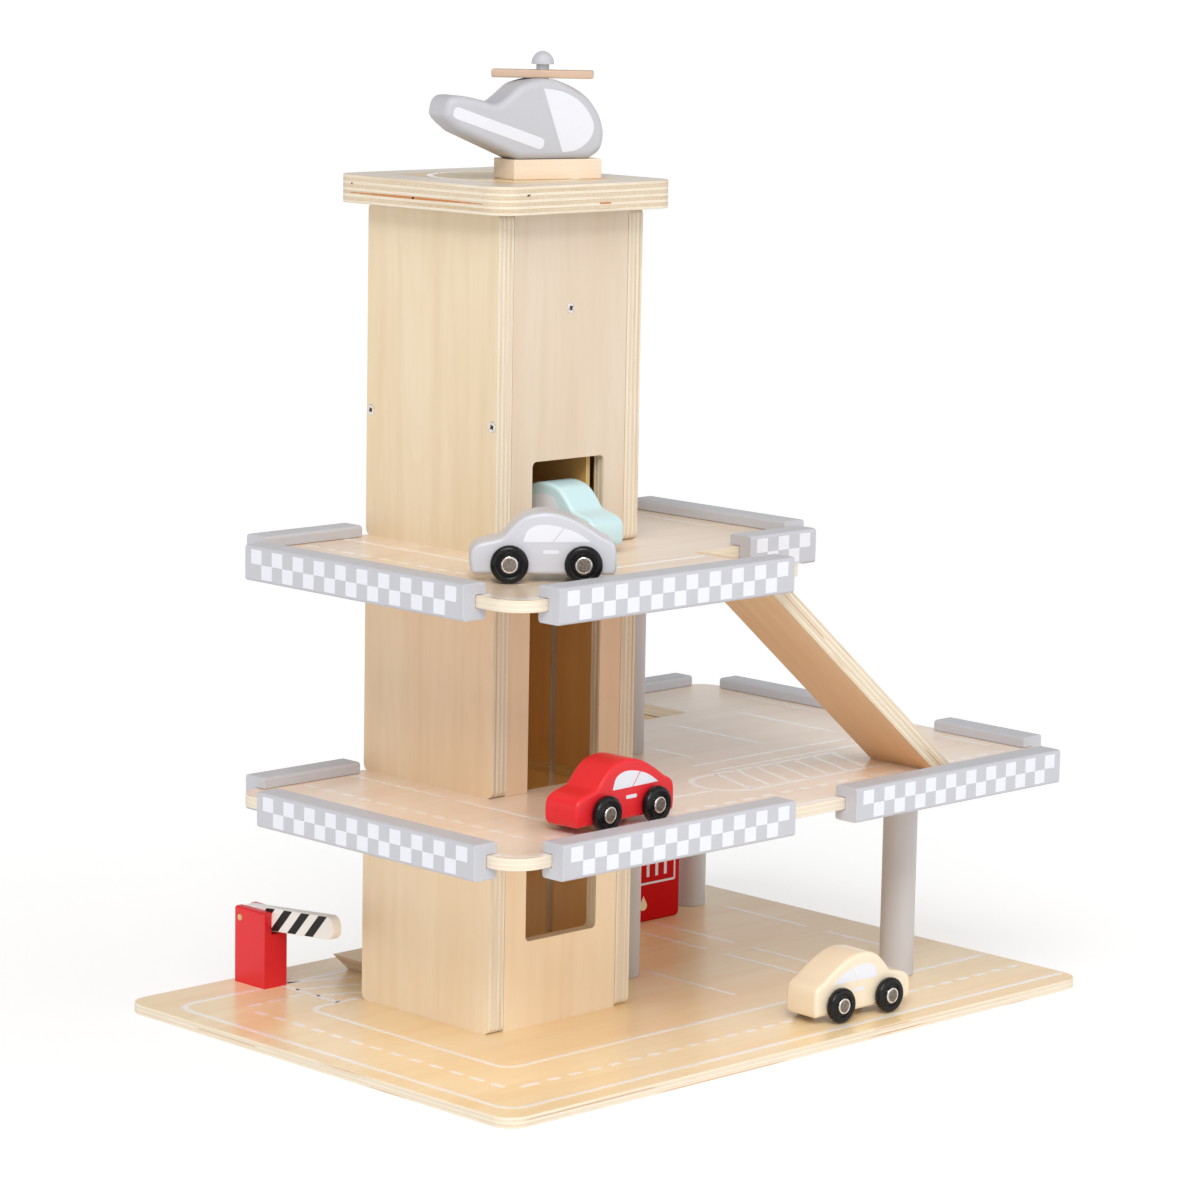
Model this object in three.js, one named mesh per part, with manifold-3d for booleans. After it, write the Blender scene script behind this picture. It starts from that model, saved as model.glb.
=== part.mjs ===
// Wooden toy parking garage: a lift tower with two car decks, ramps, a gate, four cars and a helicopter.
// Millimetres, +Z up. The origin is the middle of the base board's underside.
// +X runs along the base's long side, and +Y from its front side to its back side.

import * as THREE from 'three';
import { mergeVertices } from 'three/addons/utils/BufferGeometryUtils.js';
import Module from 'manifold-3d';

const wasm = await Module();
wasm.setup();

// Fits
const fitGap = 0.3;
const cutOverrun = 1;
const slidingGap = 1;

// Base board and storeys
const baseLength = 460;
const baseWidth = 318;
const baseThickness = 6;
const baseCornerRadius = 13;
const deckThickness = 6.5;
const lowStoreyHeight = 126.1;
const middleStoreyHeight = 127.5;
const topStoreyHeight = 185;
const lowerDeckUnderside = baseThickness + lowStoreyHeight;
const lowerDeckTop = lowerDeckUnderside + deckThickness;
const upperDeckUnderside = lowerDeckTop + middleStoreyHeight;
const upperDeckTop = upperDeckUnderside + deckThickness;
const roofUnderside = upperDeckTop + topStoreyHeight;
const roofThickness = 15.5;
const roofTop = roofUnderside + roofThickness;

// Lift tower: its place on the base, its walls and the openings in them
const towerLeft = 104.5;
const towerBackYard = 83;
const towerWidth = 108;
const towerDepth = 106;
const sideWallThickness = 11;
const endWallThickness = 7.5;
const sideWallCornerRadius = 4;
const towerRight = towerLeft + towerWidth;
const towerBack = baseWidth - towerBackYard;
const towerFront = towerBack - towerDepth;
const towerCentreX = towerLeft + towerWidth / 2;
const shaftLeft = towerLeft + sideWallThickness;
const shaftRight = towerRight - sideWallThickness;
const shaftFront = towerFront + endWallThickness;
const shaftBack = towerBack - endWallThickness;
const shaftCentreY = (shaftFront + shaftBack) / 2 + slidingGap;
const grooveWidth = 5.5;
const grooveDepth = 3;
const doorWidth = 54;
const doorCornerRadius = 3;
const carDoorHeight = 100;
const topDoorHeight = 49.5;
const windowSill = 48.6;
const windowHeight = 51.4;
const backDoorHeight = 48;

// Roof board
const roofOverhangLeft = 12.5;
const roofOverhangFront = 15;
const roofOverhangBack = 16;
const roofCornerRadius = 14;

// Decks
const deckSetback = 9;
const deckCornerRadius = 18;
const deckInnerRadius = 5;
const deckLeft = deckSetback;
const deckFront = deckSetback;
const lowerDeckRight = baseLength - deckSetback;
const lowerDeckBack = baseWidth - deckSetback;
const lowerDeckStep = 240;
const upperDeckRight = 303;
const upperTongueEnd = 220;
const tongueCornerRadius = 7;
const slotLeft = 203;
const slotFront = 24;
const slotBack = 75;
const rampHoleLeft = 282;
const rampHoleMargin = 81;
const rampHoleSetback = 19.5;
const rampHoleWidth = 49;
const rampHoleRight = lowerDeckRight - rampHoleMargin;
const rampHoleBack = lowerDeckBack - rampHoleSetback;
const rampHoleFront = rampHoleBack - rampHoleWidth;
const rampHoleRadius = 3;

// Edge rails: a bar with a groove that grips the deck's edge
const railDepth = 16;
const railHeight = 19.5;
const railGrip = 7;
const railLip = (railHeight - deckThickness) / 2;
const railEdgeRadius = 1.8;
const railEndRadius = 1;
const railFit = 0.15;
const longRail = 174;
const middleRail = 122.5;
const shortRail = 70;
const slotRail = 53;
const lowerFrontRailInset = 26.6;
const upperFrontRailInset = 21;
const frontRailGap = 48.9;
const lowerLeftRailInset = 20;
const upperLeftRailInset = 30.8;
const backLeftRailInset = 17;
const backRightRailInset = 14.7;
const rightBackRailInset = 23.2;
const rightFrontRailInset = 28.3;
const slotRailInset = 11.4;
const upperRightRailInset = 19.5;

// Ramps
const rampThickness = 10;
const rampTopFlat = 4;
const upperRampWidth = 50;
const upperRampFront = 24.5;
const upperRampMargin = 83.4;
const upperRampFoot = lowerDeckRight - upperRampMargin;
const lowerRampClearance = 0.5;
const lowerRampWidth = 48;
const lowerRampFront = rampHoleFront + lowerRampClearance;
const lowerRampMargin = 19.6;
const lowerRampToe = towerRight + lowerRampMargin;
const landingTop = 17;
const landingLeft = 131;
const landingWidth = 50;
const landingUndercut = 12;

// Round posts
const postRadius = 10;
const centrePostMargins = [43.5, 57];
const frontPostMargins = [79, 76];
const backPostMargins = [45, 38];
const centrePost = [towerRight + centrePostMargins[0], towerBack - centrePostMargins[1]];
const frontPost = [baseLength - frontPostMargins[0], frontPostMargins[1]];
const backPost = [baseLength - backPostMargins[0], baseWidth - backPostMargins[1]];

// Fuel pump block
const pumpMargins = [113, 56];
const pumpLeft = baseLength - pumpMargins[0];
const pumpFront = baseWidth - pumpMargins[1];
const pumpWidth = 41;
const pumpDepth = 22;
const pumpHeight = 48;
const pumpRadius = 3;

// Barrier gate
const gateLeft = 75.3;
const gateMargin = 32;
const gateFront = baseWidth - gateMargin;
const gateWidth = 16.5;
const gateDepth = 26.5;
const gateHeight = 44.5;
const gateSlotWidth = 7;
const gateCheek = 5;
const gateSlotDepth = 13.25;
const gateEdgeRadius = 1.5;
const gatePinRadius = 2;
const gatePinSetback = 4;
const gatePinDrop = 6.2;
const gateArmThickness = 6.4;
const gateArmHeight = 13.5;
const gateArmReach = 76;
const gateArmTipRadius = 5.5;
const gateRestAngle = THREE.MathUtils.degToRad(4.8);

// Lift cabin, drawn at its top stop
const cabinFloorThickness = 6.5;
const cabinTongueReach = 2.5;
const cabinTongueWidth = 5;
const cabinWallThickness = 2.8;
const cabinWallSpacing = 43.8;
const cabinWallHeight = 60;
const cabinBarHeight = 12;

// Winding gear at the head of the shaft
const spindleRadius = 4;
const spindleDrop = 53.3;
const drumRadius = 12;
const drumFlangeRadius = 16;
const drumFlangeThickness = 3;
const drumWidth = 36;
const crankThickness = 7;
const crankWidth = 16;
const crankReach = 36;
const knobRadius = 7;
const knobLength = 24;
const knobEdgeRadius = 2;

// Cars
const carLength = 76;
const carHeight = 36.8;
const carFloor = 3.6;
const carWidth = 24;
const carEdgeRadius = 2;
const wheelBase = 38.6;
const frontOverhang = 20.2;
const wheelRadius = 10;
const wheelThickness = 5.2;
const wheelEdge = 1.4;
const wheelDish = 0.9;
const dishRadius = 6.4;
const hubRadius = 4.6;
const hubProud = 0.4;
const axleRadius = 1.6;
const blueCarInset = 5.9;

// Helicopter
const helicopterMargins = [62.5, 31];
const helicopterPlace = [towerLeft + helicopterMargins[0], towerFront + helicopterMargins[1]];
const helicopterHeading = THREE.MathUtils.degToRad(-15);
const footLength = 54.5;
const footWidth = 24;
const footHeight = 11;
const footShift = 1.6;
const fuselageLength = 97.9;
const fuselageHeight = 43.4;
const fuselageWidth = 24;
const fuselageEdgeRadius = 4;
const fuselageNose = 30.7;
const pegShift = -2.5;
const pegRadius = 3.5;
const pegSocketDepth = 9;
const pegHeadRadius = 6.2;
const pegHeadHeight = 7;
const pegHeadLift = 3.2;
const bladeLength = 55.4;
const bladeWidth = 12;
const bladeThickness = 4.4;
const bladeHeading = THREE.MathUtils.degToRad(-32);

// Facets
const arcSteps = 3;
const splineSteps = 1;
const roundSides = 28;
const boreSides = 16;
const wheelSides = 18;
const edgeSteps = 2;

const birch = 0xe9cfa2;
const plainWood = 0xe2bd92;
const greyPaint = 0xc4c4c9;
const redPaint = 0xd8242c;
const creamPaint = 0xf2e0b8;
const bluePaint = 0xc9e6e8;
const whitePaint = 0xf2f1ee;
const tyreBlack = 0x17171a;

// Joining and cutting of closed shapes

function toSolid(geometry) {
  const plain = new THREE.BufferGeometry();
  plain.setAttribute('position', geometry.getAttribute('position').clone());
  if (geometry.index) plain.setIndex(geometry.index.clone());
  const merged = mergeVertices(plain);
  return new wasm.Manifold(new wasm.Mesh({
    numProp: 3,
    vertProperties: merged.getAttribute('position').array,
    triVerts: Uint32Array.from(merged.index.array),
  }));
}

function fromSolid(solid) {
  const mesh = solid.getMesh();
  const geometry = new THREE.BufferGeometry();
  geometry.setAttribute('position', new THREE.BufferAttribute(mesh.vertProperties.slice(), 3));
  geometry.setIndex(new THREE.BufferAttribute(mesh.triVerts.slice(), 1));
  geometry.computeVertexNormals();
  return geometry;
}

function cut(geometry, ...tools) {
  let solid = toSolid(geometry);
  for (const tool of tools) solid = solid.subtract(toSolid(tool));
  return fromSolid(solid);
}

// A straight-sided outline with a fillet of its own at each corner: [x, y, radius]
function traceOutline(path, corners) {
  corners.forEach(([x, y, radius = 0], index) => {
    const here = new THREE.Vector2(x, y);
    const before = new THREE.Vector2(...corners.at(index - 1)).sub(here).normalize();
    const after = new THREE.Vector2(...corners[(index + 1) % corners.length]).sub(here).normalize();
    if (radius === 0) {
      if (index === 0) path.moveTo(x, y);
      else path.lineTo(x, y);
      return;
    }
    const half = Math.acos(before.dot(after)) / 2;
    const centre = before.clone().add(after).normalize().multiplyScalar(radius / Math.sin(half)).add(here);
    const start = before.clone().multiplyScalar(radius / Math.tan(half)).add(here).sub(centre);
    const end = after.clone().multiplyScalar(radius / Math.tan(half)).add(here).sub(centre);
    path.absarc(centre.x, centre.y, radius, start.angle(), end.angle(), before.cross(after) > 0);
  });
  return path;
}

function outline(corners, ...holes) {
  const shape = traceOutline(new THREE.Shape(), corners);
  for (const hole of holes) shape.holes.push(traceOutline(new THREE.Path(), hole));
  return shape;
}

function rectangle(left, low, right, high, radius = 0) {
  return [[left, low, radius], [right, low, radius], [right, high, radius], [left, high, radius]];
}

function circle(x, y, radius) {
  const points = new THREE.EllipseCurve(x, y, radius, radius).getPoints(boreSides);
  return new THREE.Path(points.slice(1));
}

// Flat boards: lying (outline in X and Y), facing the front (X and Z) and facing the side (Y and Z)

const alongX = new THREE.Vector3(1, 0, 0);
const alongY = new THREE.Vector3(0, 1, 0);
const alongZ = new THREE.Vector3(0, 0, 1);

function extrude(shape, depth, edge = 0, steps = arcSteps) {
  return new THREE.ExtrudeGeometry(shape, {
    depth: depth - 2 * edge,
    curveSegments: steps,
    bevelEnabled: edge > 0,
    bevelThickness: edge,
    bevelSize: edge,
    bevelOffset: -edge,
    bevelSegments: edgeSteps,
  }).translate(0, 0, edge);
}

function lyingBoard(shape, thickness, edge) {
  return extrude(shape, thickness, edge);
}

function frontBoard(shape, thickness, edge, steps) {
  const turned = new THREE.Matrix4().makeBasis(alongX, alongZ, alongY.clone().negate());
  return extrude(shape, thickness, edge, steps).applyMatrix4(turned).translate(0, thickness, 0);
}

function sideBoard(shape, thickness, edge, steps) {
  return extrude(shape, thickness, edge, steps).applyMatrix4(new THREE.Matrix4().makeBasis(alongY, alongZ, alongX));
}

function roundBar(radius, length, axis, sides = roundSides) {
  const bar = new THREE.CylinderGeometry(radius, radius, length, sides);
  if (axis === alongX) bar.rotateZ(-Math.PI / 2);
  if (axis === alongZ) bar.rotateX(Math.PI / 2);
  return bar;
}

// Turned pieces: a profile of [radius, height] revolved about +Y, from one end of the axis to the other
function turned(profile, sides = roundSides) {
  return new THREE.LatheGeometry(profile.map(([radius, height]) => new THREE.Vector2(radius, height)), sides);
}

// The scene graph, first with its corner at the base's front left
const garage = new THREE.Group();
garage.position.set(-baseLength / 2, -baseWidth / 2, 0);

function place(name, geometry, color, parent = garage, x = 0, y = 0, z = 0, roughness = 0.6) {
  const material = new THREE.MeshStandardMaterial({ color, roughness, metalness: 0 });
  const mesh = new THREE.Mesh(geometry, material);
  mesh.name = name;
  mesh.position.set(x, y, z);
  parent.add(mesh);
  return mesh;
}

function addBase() {
  const shape = outline(rectangle(0, 0, baseLength, baseWidth, baseCornerRadius));
  place('base_board', lyingBoard(shape, baseThickness), birch);
}

// The decks fit round the tower: the shaft's notch is open at the back, where the tall back wall passes
function shaftNotch() {
  const grooveFront = shaftCentreY - grooveWidth / 2;
  const grooveBack = shaftCentreY + grooveWidth / 2;
  return [
    [shaftRight, towerBack],
    [shaftRight, grooveBack],
    [shaftRight + grooveDepth, grooveBack],
    [shaftRight + grooveDepth, grooveFront],
    [shaftRight, grooveFront],
    [shaftRight, shaftFront],
    [shaftLeft, shaftFront],
    [shaftLeft, grooveFront],
    [shaftLeft - grooveDepth, grooveFront],
    [shaftLeft - grooveDepth, grooveBack],
    [shaftLeft, grooveBack],
    [shaftLeft, towerBack],
  ];
}

function addDecks() {
  const lower = outline(
    [
      [deckLeft, deckFront, deckCornerRadius],
      [lowerDeckRight, deckFront, deckCornerRadius],
      [lowerDeckRight, lowerDeckBack, deckCornerRadius],
      [lowerDeckStep, lowerDeckBack, deckCornerRadius],
      [lowerDeckStep, towerBack, deckInnerRadius],
      ...shaftNotch(),
      [deckLeft, towerBack, deckCornerRadius],
    ],
    rectangle(rampHoleLeft, rampHoleFront, rampHoleRight, rampHoleBack, rampHoleRadius),
  );
  place('lower_deck', lyingBoard(lower, deckThickness), birch, garage, 0, 0, lowerDeckUnderside);

  const upper = outline([
    [deckLeft, deckFront, deckCornerRadius],
    [upperTongueEnd, deckFront, tongueCornerRadius],
    [upperTongueEnd, slotFront, tongueCornerRadius],
    [slotLeft, slotFront],
    [slotLeft, slotBack],
    [upperDeckRight, slotBack, tongueCornerRadius],
    [upperDeckRight, towerBack, deckCornerRadius],
    ...shaftNotch(),
    [deckLeft, towerBack, deckCornerRadius],
  ]);
  place('upper_deck', lyingBoard(upper, deckThickness), birch, garage, 0, 0, upperDeckUnderside);
}

function addRoof() {
  const shape = outline(rectangle(
    towerLeft - roofOverhangLeft,
    towerFront - roofOverhangFront,
    towerRight + roofOverhangLeft,
    towerBack + roofOverhangBack,
    roofCornerRadius,
  ));
  place('roof_board', lyingBoard(shape, roofThickness), birch, garage, 0, 0, roofUnderside);
}

// A storey's side walls: rounded corners, and on the inner face an upright groove for the lift
function addSideWalls(storey, floor, height) {
  const shape = outline(rectangle(0, 0, towerDepth, height, sideWallCornerRadius));
  const groove = new THREE.BoxGeometry(2 * grooveDepth, grooveWidth, height + 2 * cutOverrun);
  const grooveY = shaftCentreY - towerFront;
  const left = cut(sideBoard(shape, sideWallThickness), groove.clone().translate(sideWallThickness, grooveY, height / 2));
  const right = cut(sideBoard(shape, sideWallThickness), groove.clone().translate(0, grooveY, height / 2));
  place(`tower_left_wall_${storey}`, left, birch, garage, towerLeft, towerFront, floor);
  place(`tower_right_wall_${storey}`, right, birch, garage, shaftRight, towerFront, floor);
}

// A wall with a doorway that reaches down to its foot
function doorwayOutline(width, height, doorHeight) {
  const doorLeft = (width - doorWidth) / 2;
  const doorRight = (width + doorWidth) / 2;
  return outline([
    [0, 0],
    [doorLeft, 0],
    [doorLeft, doorHeight, doorCornerRadius],
    [doorRight, doorHeight, doorCornerRadius],
    [doorRight, 0],
    [width, 0],
    [width, height],
    [0, height],
  ]);
}

function addEndWalls() {
  const width = shaftRight - shaftLeft - 2 * fitGap;
  const left = shaftLeft + fitGap;
  const doorLeft = (width - doorWidth) / 2;
  const doorRight = (width + doorWidth) / 2;
  const windowed = outline(
    rectangle(0, 0, width, lowStoreyHeight),
    rectangle(doorLeft, windowSill, doorRight, windowSill + windowHeight, doorCornerRadius),
  );
  const middle = doorwayOutline(width, middleStoreyHeight, carDoorHeight);
  const top = doorwayOutline(width, topStoreyHeight, topDoorHeight);
  place('tower_front_wall_low', frontBoard(windowed, endWallThickness), birch, garage, left, towerFront, baseThickness);
  place('tower_front_wall_middle', frontBoard(middle, endWallThickness), birch, garage, left, towerFront, lowerDeckTop);
  place('tower_front_wall_top', frontBoard(top, endWallThickness), birch, garage, left, towerFront, upperDeckTop);

  const sill = landingTop - baseThickness;
  const tall = outline(
    rectangle(0, 0, width, roofUnderside - baseThickness),
    rectangle(doorLeft, sill, doorRight, sill + backDoorHeight, doorCornerRadius),
  );
  tall.holes.push(circle(width / 2, roofUnderside - spindleDrop - baseThickness, spindleRadius + fitGap));
  place('tower_back_wall', frontBoard(tall, endWallThickness), birch, garage, left, shaftBack, baseThickness);
}

// A rail of the given length along X, its outer face at Y = 0 and its groove level with the deck
function railGeometry(length) {
  const grooveIn = railDepth - railGrip - fitGap;
  const grooveLow = railLip - railFit;
  const grooveHigh = railLip + deckThickness + railFit;
  const profile = outline([
    [0, 0, railEdgeRadius],
    [railDepth, 0, railEdgeRadius],
    [railDepth, grooveLow],
    [grooveIn, grooveLow],
    [grooveIn, grooveHigh],
    [railDepth, grooveHigh],
    [railDepth, railHeight, railEdgeRadius],
    [0, railHeight, railEdgeRadius],
  ]);
  return sideBoard(profile, length, railEndRadius, splineSteps);
}

// Rails stand on a deck's edge: at is the edge's place, from is where the rail starts along it
const railSides = {
  front: { turn: 0, spot: (at, from) => [from, at - railOverhang()] },
  right: { turn: Math.PI / 2, spot: (at, from) => [at + railOverhang(), from] },
  back: { turn: Math.PI, spot: (at, from, length) => [from + length, at + railOverhang()] },
  left: { turn: -Math.PI / 2, spot: (at, from, length) => [at - railOverhang(), from + length] },
};

function railOverhang() {
  return railDepth - railGrip;
}

function addRails(deckUnderside, rails) {
  for (const [name, side, at, from, length] of rails) {
    const [x, y] = railSides[side].spot(at, from, length);
    const rail = place(name, railGeometry(length), greyPaint, garage, x, y, deckUnderside - railLip);
    rail.rotation.z = railSides[side].turn;
  }
}

function addAllRails() {
  const firstFront = deckLeft + lowerFrontRailInset;
  const secondFront = firstFront + longRail + frontRailGap;
  const backRight = lowerDeckRight - backRightRailInset - shortRail;
  const rightBack = lowerDeckBack - rightBackRailInset - middleRail;
  const slotStart = upperDeckRight - slotRailInset - slotRail;
  addRails(lowerDeckUnderside, [
    ['lower_rail_front_left', 'front', deckFront, firstFront, longRail],
    ['lower_rail_front_right', 'front', deckFront, secondFront, longRail],
    ['lower_rail_left', 'left', deckLeft, deckFront + lowerLeftRailInset, longRail],
    ['lower_rail_back_left', 'back', towerBack, deckLeft + backLeftRailInset, shortRail],
    ['lower_rail_back_right', 'back', lowerDeckBack, backRight, shortRail],
    ['lower_rail_right_back', 'right', lowerDeckRight, rightBack, middleRail],
    ['lower_rail_right_front', 'right', lowerDeckRight, deckFront + rightFrontRailInset, shortRail],
  ]);
  addRails(upperDeckUnderside, [
    ['upper_rail_front', 'front', deckFront, deckLeft + upperFrontRailInset, longRail],
    ['upper_rail_left', 'left', deckLeft, deckFront + upperLeftRailInset, longRail],
    ['upper_rail_back_left', 'back', towerBack, deckLeft + backLeftRailInset, shortRail],
    ['upper_rail_slot', 'front', slotBack, slotStart, slotRail],
    ['upper_rail_right', 'right', upperDeckRight, slotBack + upperRightRailInset, middleRail],
  ]);
}

// Each ramp's slope follows from its reach and its rise, and it is cut level where it meets a board
function addRamps() {
  const flatEnd = slotLeft + fitGap + rampTopFlat;
  const upperAngle = Math.atan2(upperDeckTop - lowerDeckTop, upperRampFoot - flatEnd);
  const upperAcross = rampThickness / Math.sin(upperAngle);
  const lapTop = upperDeckUnderside - fitGap;
  const lapEnd = upperRampFoot - upperAcross - (lapTop - lowerDeckTop) / Math.tan(upperAngle);
  const upper = outline([
    [upperRampFoot, lowerDeckTop],
    [flatEnd, upperDeckTop],
    [slotLeft + fitGap, upperDeckTop],
    [slotLeft + fitGap, lapTop],
    [lapEnd, lapTop],
    [upperRampFoot - upperAcross, lowerDeckTop],
  ]);
  place('upper_ramp', frontBoard(upper, upperRampWidth), birch, garage, 0, upperRampFront);

  const headTop = lowerDeckUnderside - fitGap;
  const lowerAngle = Math.atan2(headTop - landingTop, rampHoleRight - lowerRampToe);
  const lowerAcross = rampThickness / Math.sin(lowerAngle);
  const heel = rampHoleRight + lowerAcross - (headTop - baseThickness) / Math.tan(lowerAngle);
  const lower = outline([
    [lowerRampToe, baseThickness],
    [heel, baseThickness],
    [rampHoleRight + lowerAcross, headTop],
    [rampHoleRight, headTop],
    [lowerRampToe, landingTop],
  ]);
  place('lower_ramp', frontBoard(lower, lowerRampWidth), birch, garage, 0, lowerRampFront);

  const landing = outline([
    [landingLeft, landingTop],
    [landingLeft + landingUndercut, baseThickness],
    [lowerRampToe - fitGap, baseThickness],
    [lowerRampToe - fitGap, landingTop],
  ]);
  place('ramp_landing', frontBoard(landing, landingWidth), birch, garage, 0, lowerRampFront);
}

function addPosts() {
  const low = roundBar(postRadius, lowStoreyHeight, alongZ);
  const lowMiddle = baseThickness + lowStoreyHeight / 2;
  place('post_centre_low', low, greyPaint, garage, ...centrePost, lowMiddle);
  place('post_front_low', low.clone(), greyPaint, garage, ...frontPost, lowMiddle);
  place('post_back_low', low.clone(), greyPaint, garage, ...backPost, lowMiddle);
  const high = roundBar(postRadius, middleStoreyHeight, alongZ);
  const highMiddle = lowerDeckTop + middleStoreyHeight / 2;
  place('post_centre_high', high, greyPaint, garage, ...centrePost, highMiddle);
}

function addPump() {
  const shape = outline(rectangle(0, 0, pumpWidth, pumpHeight, pumpRadius));
  const block = frontBoard(shape, pumpDepth, pumpRadius / 2);
  place('fuel_pump', block, redPaint, garage, pumpLeft, pumpFront, baseThickness);
}

// The gate: a forked post, a pin across its fork and an arm that swings up on the pin
function addGate() {
  const slotLeftX = gateCheek;
  const slotRightX = gateCheek + gateSlotWidth;
  const slotFloor = gateHeight - gateSlotDepth;
  const fork = outline([
    [0, 0],
    [gateWidth, 0],
    [gateWidth, gateHeight, gateEdgeRadius],
    [slotRightX, gateHeight],
    [slotRightX, slotFloor],
    [slotLeftX, slotFloor],
    [slotLeftX, gateHeight],
    [0, gateHeight, gateEdgeRadius],
  ]);
  const pinY = gateDepth - gatePinSetback;
  const pinZ = gateHeight - gatePinDrop;
  const bore = roundBar(gatePinRadius + fitGap, gateWidth + 2 * cutOverrun, alongX, boreSides);
  const post = cut(frontBoard(fork, gateDepth), bore.translate(gateWidth / 2, pinY, pinZ));

  const gate = new THREE.Group();
  gate.position.set(gateLeft, gateFront, baseThickness);
  garage.add(gate);
  place('gate_post', post, redPaint, gate);
  place('gate_pin', roundBar(gatePinRadius, gateWidth, alongX, boreSides), plainWood, gate, gateWidth / 2, pinY, pinZ);

  const half = gateArmHeight / 2;
  const armShape = outline([
    [-gateArmReach, -half, gateArmTipRadius],
    [gatePinSetback, -half, gatePinSetback],
    [gatePinSetback, half, gatePinSetback],
    [-gateArmReach, half, gateArmTipRadius],
  ]);
  armShape.holes.push(circle(0, 0, gatePinRadius + fitGap));
  const armGeometry = sideBoard(armShape, gateArmThickness).translate(-gateArmThickness / 2, 0, 0);
  const armX = gateCheek + gateSlotWidth / 2;
  const arm = place('gate_arm', armGeometry, whitePaint, gate, armX, pinY, pinZ);
  arm.rotation.x = -gateRestAngle;
}

// The lift: an open cabin whose floor and crossbar have tongues in the tower's grooves
function addLift() {
  const lift = new THREE.Group();
  lift.position.set(towerCentreX, shaftCentreY, upperDeckTop);
  garage.add(lift);

  const halfShaft = (shaftRight - shaftLeft) / 2;
  const halfFloor = halfShaft - slidingGap;
  const halfTongued = halfShaft + cabinTongueReach;
  const halfTongue = cabinTongueWidth / 2;
  const front = shaftFront - shaftCentreY + slidingGap;
  const back = shaftBack - shaftCentreY - slidingGap;
  const floor = outline([
    [-halfFloor, front],
    [halfFloor, front],
    [halfFloor, -halfTongue],
    [halfTongued, -halfTongue],
    [halfTongued, halfTongue],
    [halfFloor, halfTongue],
    [halfFloor, back],
    [-halfFloor, back],
    [-halfFloor, halfTongue],
    [-halfTongued, halfTongue],
    [-halfTongued, -halfTongue],
    [-halfFloor, -halfTongue],
  ]);
  place('lift_floor', lyingBoard(floor, cabinFloorThickness), birch, lift, 0, 0, -cabinFloorThickness);

  const wall = sideBoard(outline(rectangle(front, 0, back, cabinWallHeight)), cabinWallThickness);
  const halfSpacing = cabinWallSpacing / 2;
  place('lift_wall_left', wall, birch, lift, -halfSpacing - cabinWallThickness);
  place('lift_wall_right', wall.clone(), birch, lift, halfSpacing);

  const bar = new THREE.BoxGeometry(2 * halfTongued, cabinTongueWidth, cabinBarHeight);
  place('lift_crossbar', bar, plainWood, lift, 0, 0, cabinWallHeight + cabinBarHeight / 2);
}

// The winding gear: a spindle with a drum over the lift, and a crank behind the back wall
function addWinding() {
  const winding = new THREE.Group();
  winding.position.set(towerCentreX, 0, roofUnderside - spindleDrop);
  garage.add(winding);

  const drumFront = shaftCentreY - drumWidth / 2;
  const drumBack = shaftCentreY + drumWidth / 2;
  const armFront = towerBack + slidingGap;
  const armBack = armFront + crankThickness;
  const spindle = turned([
    [0, shaftFront + fitGap],
    [spindleRadius, shaftFront + fitGap],
    [spindleRadius, drumFront],
    [drumFlangeRadius, drumFront],
    [drumFlangeRadius, drumFront + drumFlangeThickness],
    [drumRadius, drumFront + drumFlangeThickness],
    [drumRadius, drumBack - drumFlangeThickness],
    [drumFlangeRadius, drumBack - drumFlangeThickness],
    [drumFlangeRadius, drumBack],
    [spindleRadius, drumBack],
    [spindleRadius, armBack],
    [0, armBack],
  ]);
  place('lift_spindle', spindle, plainWood, winding);

  const halfCrank = crankWidth / 2;
  const roundEnd = halfCrank - fitGap;
  const armShape = outline(rectangle(-halfCrank, -crankReach - halfCrank, halfCrank, halfCrank, roundEnd));
  armShape.holes.push(circle(0, 0, spindleRadius + fitGap));
  place('crank_arm', frontBoard(armShape, crankThickness), plainWood, winding, 0, armFront);

  const knob = turned([
    [0, 0],
    [knobRadius, 0],
    [knobRadius, knobLength - knobEdgeRadius],
    [knobRadius - knobEdgeRadius, knobLength],
    [0, knobLength],
  ]);
  place('crank_knob', knob, redPaint, winding, 0, armBack, -crankReach);
}

// Side view of a car body as shares of its length, from the nose, and of its height over its floor
const carOutlineShares = [
  [0.985, 0.02], [1, 0.11], [0.998, 0.42], [0.969, 0.54], [0.898, 0.625], [0.827, 0.735], [0.723, 0.873],
  [0.618, 0.965], [0.513, 1], [0.409, 0.965], [0.341, 0.89], [0.273, 0.745], [0.215, 0.6], [0.135, 0.548],
  [0.052, 0.495], [0.004, 0.375], [0, 0.12], [0.02, 0.02],
];

function carBodyGeometry() {
  const nose = -wheelBase / 2 - frontOverhang;
  const bodyHeight = carHeight - carFloor;
  const points = carOutlineShares.map(([along, up]) => (
    new THREE.Vector2(nose + along * carLength, carFloor + up * bodyHeight)
  ));
  const shape = new THREE.Shape();
  shape.moveTo(points[0].x, points[0].y);
  shape.splineThru(points.slice(1));
  const body = frontBoard(shape, carWidth, carEdgeRadius, splineSteps).translate(0, -carWidth / 2, 0);
  const bore = roundBar(axleRadius + fitGap, carWidth + 2 * cutOverrun, alongY, boreSides);
  return cut(
    body,
    bore.clone().translate(-wheelBase / 2, 0, wheelRadius),
    bore.clone().translate(wheelBase / 2, 0, wheelRadius),
  );
}

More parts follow.
